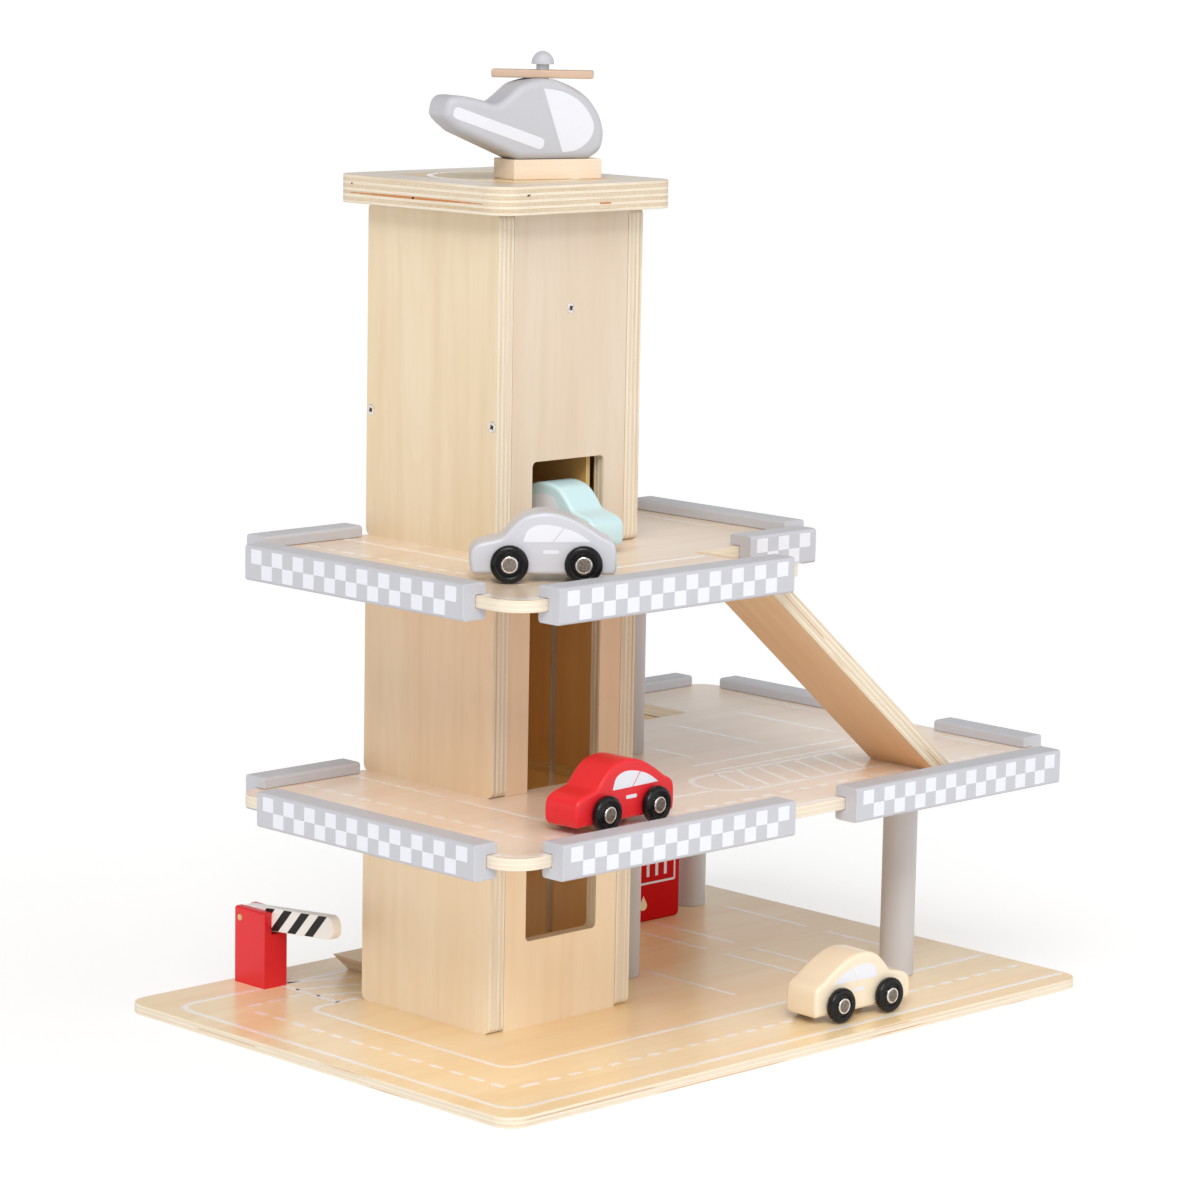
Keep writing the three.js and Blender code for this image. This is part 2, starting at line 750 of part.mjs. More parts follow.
// Two dished wheels with hub caps on one axle, revolved about the axle
function wheelSetGeometry() {
  const inner = carWidth / 2 + fitGap;
  const outer = inner + wheelThickness;
  const half = [
    [axleRadius, inner],
    [wheelRadius - wheelEdge, inner],
    [wheelRadius, inner + wheelEdge],
    [wheelRadius, outer - wheelEdge],
    [wheelRadius - wheelEdge, outer],
    [dishRadius, outer],
    [hubRadius, outer - wheelDish],
    [hubRadius, outer + hubProud],
    [0, outer + hubProud],
  ];
  const mirrored = half.map(([radius, along]) => [radius, -along]).reverse();
  return turned([...mirrored, ...half], wheelSides);
}

// Each car stands fitGap over its floor, so that its wheels turn freely: [x, y], floor and heading of the nose
const cars = [
  ['red_car', redPaint, [112.3, 43.5], lowerDeckTop, 182.5],
  ['cream_car', creamPaint, [292.5, 34.5], baseThickness, -2],
  ['grey_car', greyPaint, [72, 55.4], upperDeckTop, 139.2],
  ['blue_car', bluePaint, [157.5, towerFront + blueCarInset], upperDeckTop, -90],
];

function addCars() {
  for (const [name, color, [x, y], floor, heading] of cars) {
    const car = new THREE.Group();
    car.position.set(x, y, floor + fitGap);
    car.rotation.z = THREE.MathUtils.degToRad(heading) + Math.PI;
    garage.add(car);
    place(`${name}_body`, carBodyGeometry(), color, car);
    place(`${name}_front_wheels`, wheelSetGeometry(), tyreBlack, car, -wheelBase / 2, 0, wheelRadius);
    place(`${name}_rear_wheels`, wheelSetGeometry(), tyreBlack, car, wheelBase / 2, 0, wheelRadius);
  }
}

// Side view of the fuselage as shares of its length, from the tail, and of its height
const fuselageOutlineShares = [
  [0.906, 0], [0.97, 0.088], [0.994, 0.198], [1, 0.339], [0.979, 0.514], [0.938, 0.664], [0.881, 0.795],
  [0.808, 0.894], [0.727, 0.968], [0.672, 1], [0.585, 1], [0.484, 0.942], [0.437, 0.871], [0.39, 0.786],
  [0.343, 0.717], [0.298, 0.7], [0.226, 0.749], [0.086, 0.802], [0.023, 0.76], [0, 0.622], [0.01, 0.512],
  [0.099, 0.343],
];
const fuselageHeelShare = 0.457;

function addHelicopter() {
  const helicopter = new THREE.Group();
  helicopter.position.set(...helicopterPlace, roofTop);
  helicopter.rotation.z = helicopterHeading;
  garage.add(helicopter);

  const foot = new THREE.BoxGeometry(footLength, footWidth, footHeight);
  place('helicopter_foot', foot, plainWood, helicopter, footShift, 0, footHeight / 2);

  const tail = fuselageNose - fuselageLength;
  const points = fuselageOutlineShares.map(([along, up]) => (
    new THREE.Vector2(tail + along * fuselageLength, up * fuselageHeight)
  ));
  const shape = new THREE.Shape();
  shape.moveTo(points[0].x, points[0].y);
  shape.splineThru(points.slice(1));
  shape.lineTo(tail + fuselageHeelShare * fuselageLength, 0);
  const body = frontBoard(shape, fuselageWidth, fuselageEdgeRadius, splineSteps).translate(0, -fuselageWidth / 2, 0);
  const socket = roundBar(pegRadius + fitGap, 2 * pegSocketDepth, alongZ, boreSides);
  const fuselage = cut(body, socket.translate(pegShift, 0, fuselageHeight));
  place('helicopter_fuselage', fuselage, greyPaint, helicopter, 0, 0, footHeight);

  const crown = footHeight + fuselageHeight + fitGap;
  const bladeShape = outline(rectangle(-bladeLength / 2, -bladeWidth / 2, bladeLength / 2, bladeWidth / 2, fitGap));
  bladeShape.holes.push(circle(0, 0, pegRadius + fitGap));
  const blade = place('rotor_blade', lyingBoard(bladeShape, bladeThickness), plainWood, helicopter, pegShift, 0, crown);
  blade.rotation.z = bladeHeading;

  const stem = pegSocketDepth - 2 * fitGap;
  const headFoot = bladeThickness + pegHeadLift;
  const dome = new THREE.EllipseCurve(0, headFoot, pegHeadRadius, pegHeadHeight, 0, Math.PI / 2);
  const peg = turned([
    [0, -stem],
    [pegRadius, -stem],
    [pegRadius, headFoot],
    ...dome.getPoints(2 * arcSteps).map((point) => [Math.max(0, point.x), point.y]),
  ]).rotateX(Math.PI / 2);
  place('rotor_peg', peg, greyPaint, helicopter, pegShift, 0, crown);
}

addBase();
addDecks();
addRoof();
addSideWalls('low', baseThickness, lowStoreyHeight);
addSideWalls('middle', lowerDeckTop, middleStoreyHeight);
addSideWalls('top', upperDeckTop, topStoreyHeight);
addEndWalls();
addAllRails();
addRamps();
addPosts();
addPump();
addGate();
addLift();
addWinding();
addCars();
addHelicopter();

export default garage;
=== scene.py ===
import math
import bpy
from mathutils import Matrix, Vector
from mathutils.geometry import tessellate_polygon


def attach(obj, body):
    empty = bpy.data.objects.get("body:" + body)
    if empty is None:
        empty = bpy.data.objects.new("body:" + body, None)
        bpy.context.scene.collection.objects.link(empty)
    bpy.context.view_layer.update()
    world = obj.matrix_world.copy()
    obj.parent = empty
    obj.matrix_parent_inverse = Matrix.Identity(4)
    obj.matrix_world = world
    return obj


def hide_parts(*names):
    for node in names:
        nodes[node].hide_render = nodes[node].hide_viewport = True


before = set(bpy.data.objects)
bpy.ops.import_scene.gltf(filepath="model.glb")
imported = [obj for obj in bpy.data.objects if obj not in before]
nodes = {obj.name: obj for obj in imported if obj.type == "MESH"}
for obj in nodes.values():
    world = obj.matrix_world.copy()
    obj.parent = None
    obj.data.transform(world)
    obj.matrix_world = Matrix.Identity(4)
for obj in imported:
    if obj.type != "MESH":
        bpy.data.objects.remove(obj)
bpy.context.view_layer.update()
scene = bpy.context.scene

# Sizes below are in millimetres from the base board's front left corner; this takes them to the part's metres
toPart = Matrix.Scale(0.001, 4) @ Matrix.Translation((-230, -159, 0))


# Camera and lights

camera = {
    "spot": (-1.6716, -1.6920, 0.6199),
    "yaw": -44.376,
    "pitch": 9.255,
    "roll": 1.022,
    "lens": 127.42,
}


def makeCamera(look):
    yaw, pitch, roll = (math.radians(look[key]) for key in ("yaw", "pitch", "roll"))
    back = Vector((math.sin(yaw) * math.cos(pitch), -math.cos(yaw) * math.cos(pitch), math.sin(pitch)))
    right = Vector((math.cos(yaw), math.sin(yaw), 0))
    up = back.cross(right)
    across = right * math.cos(roll) + up * math.sin(roll)
    upright = up * math.cos(roll) - right * math.sin(roll)
    data = bpy.data.cameras.new("photoCamera")
    data.lens = look["lens"]
    data.sensor_width = 36
    data.clip_end = 90
    eye = bpy.data.objects.new("photoCamera", data)
    turn = Matrix((across, upright, back)).transposed().to_4x4()
    eye.matrix_world = Matrix.Translation(look["spot"]) @ turn
    scene.collection.objects.link(eye)
    scene.camera = eye


lights = {
    "key": {"aim": (-0.78, -0.6, 1.1), "angle": 42, "power": 1.62, "tint": (1.0, 0.995, 0.985)},
    "front": {"aim": (0.4, -1.0, 0.75), "angle": 60, "power": 0.62, "tint": (1.0, 0.99, 0.98)},
}
pool = {"spot": (-1.9, -2.1, 2.0), "aim": (-0.02, 0, 0.02), "cone": 18, "size": 0.5, "power": 190}
sky = {"low": 1.0, "high": 0.22, "backdrop": 1.05, "tint": (1.0, 1.0, 1.0)}


def aimed(way):
    return Vector(way).to_track_quat("Z", "Y").to_matrix().to_4x4()


def addLamp(name, kind, power, place):
    data = bpy.data.lights.new(name, kind)
    data.energy = power
    lamp = bpy.data.objects.new(name, data)
    lamp.matrix_world = place
    scene.collection.objects.link(lamp)
    return lamp


def makeLights():
    for name, look in lights.items():
        lamp = addLamp(name + "Light", "SUN", look["power"], aimed(look["aim"]))
        lamp.data.angle = math.radians(look["angle"])
        lamp.data.color = look["tint"]
    # a wide pool on the lower half, fading out towards the roof
    way = Vector(pool["spot"]) - Vector(pool["aim"])
    lamp = addLamp("poolLight", "SPOT", pool["power"], Matrix.Translation(pool["spot"]) @ aimed(way))
    lamp.data.shadow_soft_size = pool["size"]
    lamp.data.spot_size = math.radians(pool["cone"])
    lamp.data.spot_blend = 1.0
    lamp.light_linking.receiver_collection = bpy.data.collections.new("poolLit")
    world = bpy.data.worlds.new("studio")
    world.use_nodes = True
    tree = world.node_tree
    seen = tree.nodes.new("ShaderNodeLightPath").outputs["Is Camera Ray"]
    height = tree.nodes.new("ShaderNodeSeparateXYZ")
    tree.links.new(tree.nodes.new("ShaderNodeTexCoord").outputs["Generated"], height.inputs[0])
    wall = tree.nodes.new("ShaderNodeMapRange")  # a pale wall round the object, darker overhead
    wall.inputs["From Max"].default_value = 0.6
    wall.inputs["To Min"].default_value = sky["low"]
    wall.inputs["To Max"].default_value = sky["high"]
    tree.links.new(height.outputs["Z"], wall.inputs["Value"])
    strength = tree.nodes.new("ShaderNodeMapRange")
    strength.inputs["To Max"].default_value = sky["backdrop"]
    tree.links.new(seen, strength.inputs["Value"])
    tree.links.new(wall.outputs["Result"], strength.inputs["To Min"])
    tree.links.new(strength.outputs["Result"], tree.nodes["Background"].inputs["Strength"])
    tree.nodes["Background"].inputs["Color"].default_value = (*sky["tint"], 1)
    scene.world = world
    scene.view_settings.view_transform = "Standard"


makeCamera(camera)
makeLights()
print("camera and lights set")


# Shader helpers and the groups that several materials share

def put(tree, kind, inputs=None, **settings):
    node = tree.nodes.new(kind)
    for key, value in settings.items():
        setattr(node, key, value)
    for key, value in (inputs or {}).items():
        if isinstance(value, bpy.types.NodeSocket):
            tree.links.new(value, node.inputs[key])
        else:
            node.inputs[key].default_value = value
    return node


def sums(tree, operation, *values):
    return put(tree, "ShaderNodeMath", dict(enumerate(values)), operation=operation).outputs[0]


def times(tree, first, *others):
    for other in others:
        first = sums(tree, "MULTIPLY", first, other)
    return first


def plus(tree, first, *others):
    for other in others:
        first = sums(tree, "ADD", first, other)
    return first


def minus(tree, first, second):
    return sums(tree, "SUBTRACT", first, second)


def vectors(tree, operation, first, second):
    node = put(tree, "ShaderNodeVectorMath", {0: first, 1: second}, operation=operation)
    return node.outputs["Value" if operation == "DOT_PRODUCT" else "Vector"]


def noise(tree, vector, scale, detail=3.0, rough=0.55):
    node = put(tree, "ShaderNodeTexNoise", {
        "Vector": vector, "Scale": scale, "Detail": detail, "Roughness": rough,
    })
    return node.outputs["Fac"]


def stretched(tree, vector, scales, detail=3.0, rough=0.55):
    # noise with its own scale along each axis
    return noise(tree, vectors(tree, "MULTIPLY", vector, scales), 1.0, detail, rough)


def moved(tree, vector, x=0, y=0, z=0):
    step = put(tree, "ShaderNodeCombineXYZ", {0: x, 1: y, 2: z})
    return vectors(tree, "ADD", vector, step.outputs[0])


def between(tree, value, low, high, first=0.0, last=1.0):
    node = put(tree, "ShaderNodeMapRange", {
        "Value": value, "From Min": low, "From Max": high, "To Min": first, "To Max": last,
    }, interpolation_type="SMOOTHSTEP")
    return node.outputs["Result"]


def blendColor(tree, share, first, second, kind="MIX"):
    node = put(tree, "ShaderNodeMix", {0: share, 6: first, 7: second}, data_type="RGBA", blend_type=kind)
    return node.outputs[2]


def makeGroup(name, inputs, outputs):
    tree = bpy.data.node_groups.new(name, "ShaderNodeTree")
    for socketName, (kind, value) in inputs.items():
        socket = tree.interface.new_socket(socketName, in_out="INPUT", socket_type="NodeSocket" + kind)
        if value is not None:
            socket.default_value = value
    for socketName, kind in outputs.items():
        tree.interface.new_socket(socketName, in_out="OUTPUT", socket_type="NodeSocket" + kind)
    return tree, tree.nodes.new("NodeGroupInput").outputs, tree.nodes.new("NodeGroupOutput").inputs


def makeBoardAxes():
    # turns object coordinates into along the grain, across it and through the board
    tree, source, result = makeGroup(
        "boardAxes",
        {"Grain": ("Vector", (1, 0, 0)), "Across": ("Vector", (0, 1, 0)), "Through": ("Vector", (0, 0, 1)),
         "Start": ("Float", 0.0)},
        {"Vector": "Vector", "Depth": "Float", "Face": "Float"},
    )
    texture = tree.nodes.new("ShaderNodeTexCoord")
    spot = texture.outputs["Object"]
    depth = minus(tree, vectors(tree, "DOT_PRODUCT", spot, source["Through"]), source["Start"])
    joined = put(tree, "ShaderNodeCombineXYZ", {
        0: vectors(tree, "DOT_PRODUCT", spot, source["Grain"]),
        1: vectors(tree, "DOT_PRODUCT", spot, source["Across"]),
        2: depth,
    })
    facing = sums(tree, "ABSOLUTE", vectors(tree, "DOT_PRODUCT", texture.outputs["Normal"], source["Through"]))
    tree.links.new(joined.outputs[0], result["Vector"])
    tree.links.new(depth, result["Depth"])
    tree.links.new(between(tree, facing, 0.6, 0.8), result["Face"])
    return tree


def makeVeneerGrain():
    # sliced veneer: soft blotches, faint flame lines, fine fibres and short pores, all stretched along X
    tree, source, result = makeGroup(
        "veneerGrain",
        {"Vector": ("Vector", None), "Seed": ("Float", 0.0), "Pale": ("Color", (0.8, 0.6, 0.4, 1)),
         "Warm": ("Color", (0.7, 0.5, 0.3, 1)), "Figure": ("Float", 0.6), "Fibre": ("Float", 0.2),
         "Pores": ("Float", 0.1)},
        {"Color": "Color", "Height": "Float"},
    )
    seed, pale, warm, figure = (source[key] for key in ("Seed", "Pale", "Warm", "Figure"))
    spot = moved(tree, source["Vector"], seed, seed, seed)
    sway = stretched(tree, spot, (9, 26, 26), 2.0)
    spot = moved(tree, spot, 0, times(tree, sway, 0.01))
    blotch = stretched(tree, spot, (5, 24, 24))
    streak = stretched(tree, spot, (4, 110, 110), 4.0, 0.6)
    fibre = stretched(tree, spot, (45, 1500, 1500), 3.0, 0.65)
    pore = stretched(tree, spot, (230, 2100, 2100), 1.0)
    rings = stretched(tree, spot, (1.5, 11, 11), 1.0)
    rim = sums(tree, "FRACT", times(tree, rings, 26.0))
    flame = times(tree, between(tree, rim, 0.0, 0.55, 1.0, 0.0), between(tree, rim, 0.0, 0.12))
    ground = blendColor(tree, times(tree, between(tree, blotch, 0.38, 0.66), figure), pale, warm)
    ground = blendColor(tree, times(tree, flame, figure, 0.34), ground, warm)
    deep = blendColor(tree, 1.0, warm, (0.88, 0.8, 0.7, 1), "MULTIPLY")
    ground = blendColor(tree, times(tree, between(tree, streak, 0.4, 0.75), figure, 0.5), ground, deep)
    ground = blendColor(tree, times(tree, between(tree, fibre, 0.4, 0.8), source["Fibre"]), ground, deep)
    specks = times(tree, between(tree, pore, 0.68, 0.8), source["Pores"])
    brown = blendColor(tree, 1.0, warm, (0.6, 0.46, 0.36, 1), "MULTIPLY")
    tree.links.new(blendColor(tree, specks, ground, brown), result["Color"])
    tree.links.new(minus(tree, times(tree, fibre, 0.5), times(tree, specks, 1.5)), result["Height"])
    return tree


def makePlyLayers():
    # a sawn plywood edge: plies of their own tone, thin glue lines, a rusty streak here and there and small knots
    tree, source, result = makeGroup(
        "plyLayers",
        {"Vector": ("Vector", None), "Depth": ("Float", 0.0), "Ply": ("Float", 0.0013), "Seed": ("Float", 0.0),
         "Streaks": ("Float", 0.5), "Contrast": ("Float", 1.0), "Pale": ("Color", (0.83, 0.68, 0.47, 1)),
         "Brown": ("Color", (0.62, 0.43, 0.25, 1))},
        {"Color": "Color", "Height": "Float"},
    )
    seed, contrast, streaks = (source[key] for key in ("Seed", "Contrast", "Streaks"))
    spot = moved(tree, source["Vector"], seed, seed)
    wander = stretched(tree, spot, (30, 30, 90), 2.0)
    count = sums(tree, "DIVIDE", source["Depth"], source["Ply"])
    count = plus(tree, count, times(tree, minus(tree, wander, 0.5), 0.3))
    inPly = sums(tree, "FRACT", count)
    layer = sums(tree, "FLOOR", plus(tree, count, 20.0))
    odd = sums(tree, "MODULO", layer, 2.0)
    own = moved(tree, spot, times(tree, layer, 3.7), layer)
    dots = stretched(tree, spot, (1300, 1300, 900), 2.0, 0.6)
    runs = stretched(tree, spot, (90, 90, 1600), 3.0, 0.6)
    tone = stretched(tree, own, (9, 9, 0), 2.0)
    endGrain = times(tree, odd, between(tree, dots, 0.25, 0.8, 0.35, 0.8))
    sideGrain = times(tree, minus(tree, 1.0, odd), between(tree, runs, 0.4, 0.85, 0.0, 0.4))
    share = plus(tree, endGrain, sideGrain, between(tree, tone, 0.45, 0.7, 0.0, 0.3))
    body = blendColor(tree, times(tree, share, contrast), source["Pale"], source["Brown"])
    near = sums(tree, "MINIMUM", inPly, minus(tree, 1.0, inPly))
    glue = times(tree, between(tree, near, 0.02, 0.12, 1.0, 0.0), between(tree, wander, 0.3, 0.6, 0.3, 0.8))
    body = blendColor(tree, times(tree, glue, contrast, 0.6), body, (0.4, 0.26, 0.14, 1))
    core = between(tree, near, 0.2, 0.36)
    rust = between(tree, stretched(tree, own, (8, 8, 0), 1.0), 0.6, 0.64)
    body = blendColor(tree, times(tree, rust, core, streaks), body, (0.5, 0.22, 0.07, 1))
    knot = between(tree, stretched(tree, own, (150, 150, 0), 1.0), 0.8, 0.83)
    body = blendColor(tree, times(tree, knot, core, streaks), body, (0.13, 0.06, 0.03, 1))
    tree.links.new(body, result["Color"])
    tree.links.new(minus(tree, times(tree, dots, 0.5), glue), result["Height"])
    return tree


def makeShaftShadeMask():
    # 1 on what lies in the lift shaft, which gets painted shade: its wood is darkened and warmed to brown
    tree, source, result = makeGroup(
        "shaftShadeMask", {"Middle": ("Vector", (-0.0715, 0.023, 0)), "Half": ("Vector", (0.0434, 0.0459, 0))},
        {"Mask": "Float"},
    )
    spot = tree.nodes.new("ShaderNodeTexCoord").outputs["Object"]
    away = vectors(tree, "ABSOLUTE", vectors(tree, "SUBTRACT", spot, source["Middle"]), (0, 0, 0))
    left = put(tree, "ShaderNodeSeparateXYZ", {0: away})
    half = put(tree, "ShaderNodeSeparateXYZ", {0: source["Half"]})
    inX = sums(tree, "LESS_THAN", left.outputs[0], half.outputs[0])
    inY = sums(tree, "LESS_THAN", left.outputs[1], half.outputs[1])
    tree.links.new(times(tree, inX, inY), result["Mask"])
    return tree


def makePaintCoat():
    # sprayed paint on wood: slow mottling, grain that shows through, rubbed high spots
    tree, source, result = makeGroup(
        "paintCoat",
        {"Vector": ("Vector", None), "Paint": ("Color", (0.8, 0.8, 0.8, 1)), "Grain": ("Vector", (40, 700, 700)),
         "Mottle": ("Float", 0.06), "Shine": ("Float", 0.4)},
        {"Color": "Color", "Roughness": "Float", "Height": "Float"},
    )
    cloud = noise(tree, source["Vector"], 55.0)
    grain = stretched(tree, source["Vector"], source["Grain"], 3.0, 0.6)
    peel = noise(tree, source["Vector"], 1400.0, 2.0)
    darker = blendColor(tree, 1.0, source["Paint"], (0.86, 0.84, 0.84, 1), "MULTIPLY")
    share = times(tree, plus(tree, cloud, grain), source["Mottle"])
    tree.links.new(blendColor(tree, share, source["Paint"], darker), result["Color"])
    spread = times(tree, minus(tree, cloud, 0.5), 0.16)
    tree.links.new(plus(tree, source["Shine"], spread), result["Roughness"])
    tree.links.new(plus(tree, times(tree, peel, 0.35), grain), result["Height"])
    return tree


boardAxes = makeBoardAxes()
veneerGrain = makeVeneerGrain()
plyLayers = makePlyLayers()
paintCoat = makePaintCoat()
shaftShadeMask = makeShaftShadeMask()


def emptyMaterial(name, color):
    material = bpy.data.materials.new(name)
    material.use_nodes = True
    material.diffuse_color = (*color[:3], 1)
    tree = material.node_tree
    return material, tree, tree.nodes["Principled BSDF"]


def useGroup(tree, group, **inputs):
    return put(tree, "ShaderNodeGroup", inputs, node_tree=group).outputs


def bump(tree, shader, height, strength, distance=0.0002):
    node = put(tree, "ShaderNodeBump", {"Strength": strength, "Distance": distance, "Height": height})
    tree.links.new(node.outputs[0], shader.inputs["Normal"])


def srgb(red, green, blue):
    return tuple(((c / 255 + 0.055) / 1.055) ** 2.4 if c > 10 else c / 255 / 12.92 for c in (red, green, blue)) + (1,)


# Wood

along = {"x": (1, 0, 0), "y": (0, 1, 0), "z": (0, 0, 1)}
slope = math.radians(40)  # of both ramps
wallWood = {"grain": along["z"], "rough": 0.45, "coat": 0.1, "streaks": 0.3}
deckBoard = {"grain": along["x"], "through": along["z"], "start": 0.1321, "ply": 0.0013, "rough": 0.3, "coat": 0.55,
             "contrast": 0.3, "streaks": 0.0}
sideWall = {**wallWood, "through": along["x"], "start": -0.1255, "ply": 0.00157}
frontWall = {**wallWood, "through": along["y"], "start": -0.030, "ply": 0.0015}
rampBoard = {"start": 0.1, "ply": 0.00143, "rough": 0.42, "coat": 0.1, "contrast": 0.7, "streaks": 0.9}
woods = {
    "deckVeneer": {**deckBoard, "seed": 1.7, "pale": srgb(238, 218, 196), "warm": srgb(228, 200, 172)},
    "lowerDeckVeneer": {**deckBoard, "seed": 11.7, "pale": srgb(246, 228, 210), "warm": srgb(238, 211, 187)},
    "baseVeneer": {**deckBoard, "start": 0.0, "ply": 0.0012, "coat": 0.6, "contrast": 0.5, "streaks": 0.8,
                   "seed": 5.1, "pale": srgb(250, 229, 188), "warm": srgb(245, 209, 155)},
    "roofVeneer": {**deckBoard, "grain": along["y"], "start": 0.4576, "ply": 0.00172, "rough": 0.34, "coat": 0.3,
                   "contrast": 0.95, "seed": 2.9, "pale": srgb(218, 206, 190), "warm": srgb(206, 190, 169)},
    "sideTopVeneer": {**sideWall, "contrast": 0.6, "seed": 31.3,
                      "pale": srgb(230, 212, 182), "warm": srgb(222, 199, 162)},
    "sideVeneer": {**sideWall, "contrast": 0.7, "streaks": 0.5, "seed": 3.3,
                   "pale": srgb(240, 216, 184), "warm": srgb(232, 200, 162)},
    # painted light: the low side walls by the base are a lighter copy of the side wall wood, with paler ply edges
    "sideLowLitVeneer": {**sideWall, "contrast": 0.45, "seed": 13.9, "edge": srgb(247, 238, 220),
                      "pale": srgb(252, 236, 209), "warm": srgb(246, 223, 188)},
    "frontVeneer": {**frontWall, "contrast": 0.8, "seed": 8.2,
                    "pale": srgb(221, 205, 185), "warm": srgb(214, 192, 167)},
    # painted shade: the middle front wall, under the upper deck, is a darker and warmer copy of the front wall wood
    "frontMiddleShadedVeneer": {**frontWall, "contrast": 0.9, "seed": 22.6,
                          "pale": srgb(232, 204, 172), "warm": srgb(222, 186, 152)},
    # painted light: the low front wall by the base is a lighter copy of the front wall wood
    "frontLowLitVeneer": {**frontWall, "contrast": 0.45, "seed": 18.4,
                       "pale": srgb(252, 234, 204), "warm": srgb(247, 221, 186)},
    "backVeneer": {**frontWall, "start": 0.0685, "contrast": 0.8, "seed": 6.4,
                   "pale": srgb(234, 214, 182), "warm": srgb(222, 196, 160)},
    "upperRampVeneer": {**rampBoard, "grain": (math.cos(slope), 0, -math.sin(slope)), "seed": 4.4,
                        "through": (math.sin(slope), 0, math.cos(slope)),
                        "pale": srgb(236, 204, 162), "warm": srgb(226, 180, 132)},
    "lowerRampVeneer": {**rampBoard, "grain": (math.cos(slope), 0, math.sin(slope)), "seed": 9.6,
                        "through": (-math.sin(slope), 0, math.cos(slope)),
                        "pale": srgb(246, 222, 190), "warm": srgb(238, 204, 166)},
    "cabinVeneer": {**wallWood, "through": along["x"], "start": -0.1, "ply": 0.00093, "rough": 0.5, "seed": 7.7,
                    "contrast": 0.7, "pale": srgb(236, 208, 172), "warm": srgb(222, 188, 150)},
}
edges = {"pale": srgb(231, 220, 200), "brown": srgb(196, 166, 126), "rough": 0.62}
veneer = {"figure": 0.55, "fibre": 0.16, "pores": 0.1, "coatRoughness": 0.3, "bump": 0.08}
# painted shade: this tint darkens and warms the wood inside the lift shaft
shaftShadeTint = (1.0, 0.8, 0.42, 1)  # tints the shaft's inside


def plywood(name, look):
    material, tree, shader = emptyMaterial(name, look["pale"])
    across = Vector(look["through"]).cross(Vector(look["grain"]))
    axes = useGroup(tree, boardAxes, Grain=look["grain"], Across=across, Through=look["through"], Start=look["start"])
    face = useGroup(tree, veneerGrain, Vector=axes["Vector"], Seed=look["seed"], Pale=look["pale"],
                    Warm=look["warm"], Figure=veneer["figure"], Fibre=veneer["fibre"], Pores=veneer["pores"])
    edge = useGroup(tree, plyLayers, Vector=axes["Vector"], Depth=axes["Depth"], Ply=look["ply"],
                    Seed=look["seed"], Streaks=look["streaks"], Contrast=look["contrast"],
                    Pale=look.get("edge", edges["pale"]), Brown=edges["brown"])
    color = blendColor(tree, axes["Face"], edge["Color"], face["Color"])
    # painted shade: inside the lift shaft the wood's colour is darkened and warmed
    shaftShaded = blendColor(tree, 1.0, color, shaftShadeTint, "MULTIPLY")
    shaft = useGroup(tree, shaftShadeMask)
    tree.links.new(blendColor(tree, shaft["Mask"], color, shaftShaded), shader.inputs["Base Color"])
    height = put(tree, "ShaderNodeMix", {0: axes["Face"], 2: edge["Height"], 3: face["Height"]}).outputs[0]
    bump(tree, shader, height, veneer["bump"])
    tree.links.new(between(tree, axes["Face"], 0.0, 1.0, edges["rough"], look["rough"]), shader.inputs["Roughness"])
    shader.inputs["Coat Weight"].default_value = look["coat"]
    shader.inputs["Coat Roughness"].default_value = veneer["coatRoughness"]
    return material


turnedWood = {"figure": 0.7, "fibre": 0.3, "pores": 0.3, "rough": 0.5, "bump": 0.12}
solidWoods = {
    "plainBeech": {"pale": srgb(242, 226, 206), "warm": srgb(232, 211, 184), "grain": (0.966, -0.259, 0),
                   "seed": 12.0},
    "bladeBeech": {"pale": srgb(208, 181, 157), "warm": srgb(196, 163, 137), "grain": (0.682, -0.731, 0),
                   "seed": 15.0},
    "dowelWood": {"pale": srgb(228, 190, 140), "warm": srgb(202, 158, 108), "grain": (0, 1, 0), "seed": 21.0},
}


def solidWood(name, look):
    # a turned or planed piece of solid wood, with the same grain on every face
    material, tree, shader = emptyMaterial(name, look["pale"])
    grain = Vector(look["grain"])
    side = grain.orthogonal()
    axes = useGroup(tree, boardAxes, Grain=grain, Across=side, Through=grain.cross(side), Start=0.0)
    face = useGroup(tree, veneerGrain, Vector=axes["Vector"], Seed=look["seed"], Pale=look["pale"],
                    Warm=look["warm"], Figure=turnedWood["figure"], Fibre=turnedWood["fibre"],
                    Pores=turnedWood["pores"])
    tree.links.new(face["Color"], shader.inputs["Base Color"])
    bump(tree, shader, face["Height"], turnedWood["bump"])
    shader.inputs["Roughness"].default_value = turnedWood["rough"]
    return material


finish = {name: plywood(name, look) for name, look in woods.items()}
finish.update({name: solidWood(name, look) for name, look in solidWoods.items()})
print("woods made:", len(finish))


# Paint, rubber and metal

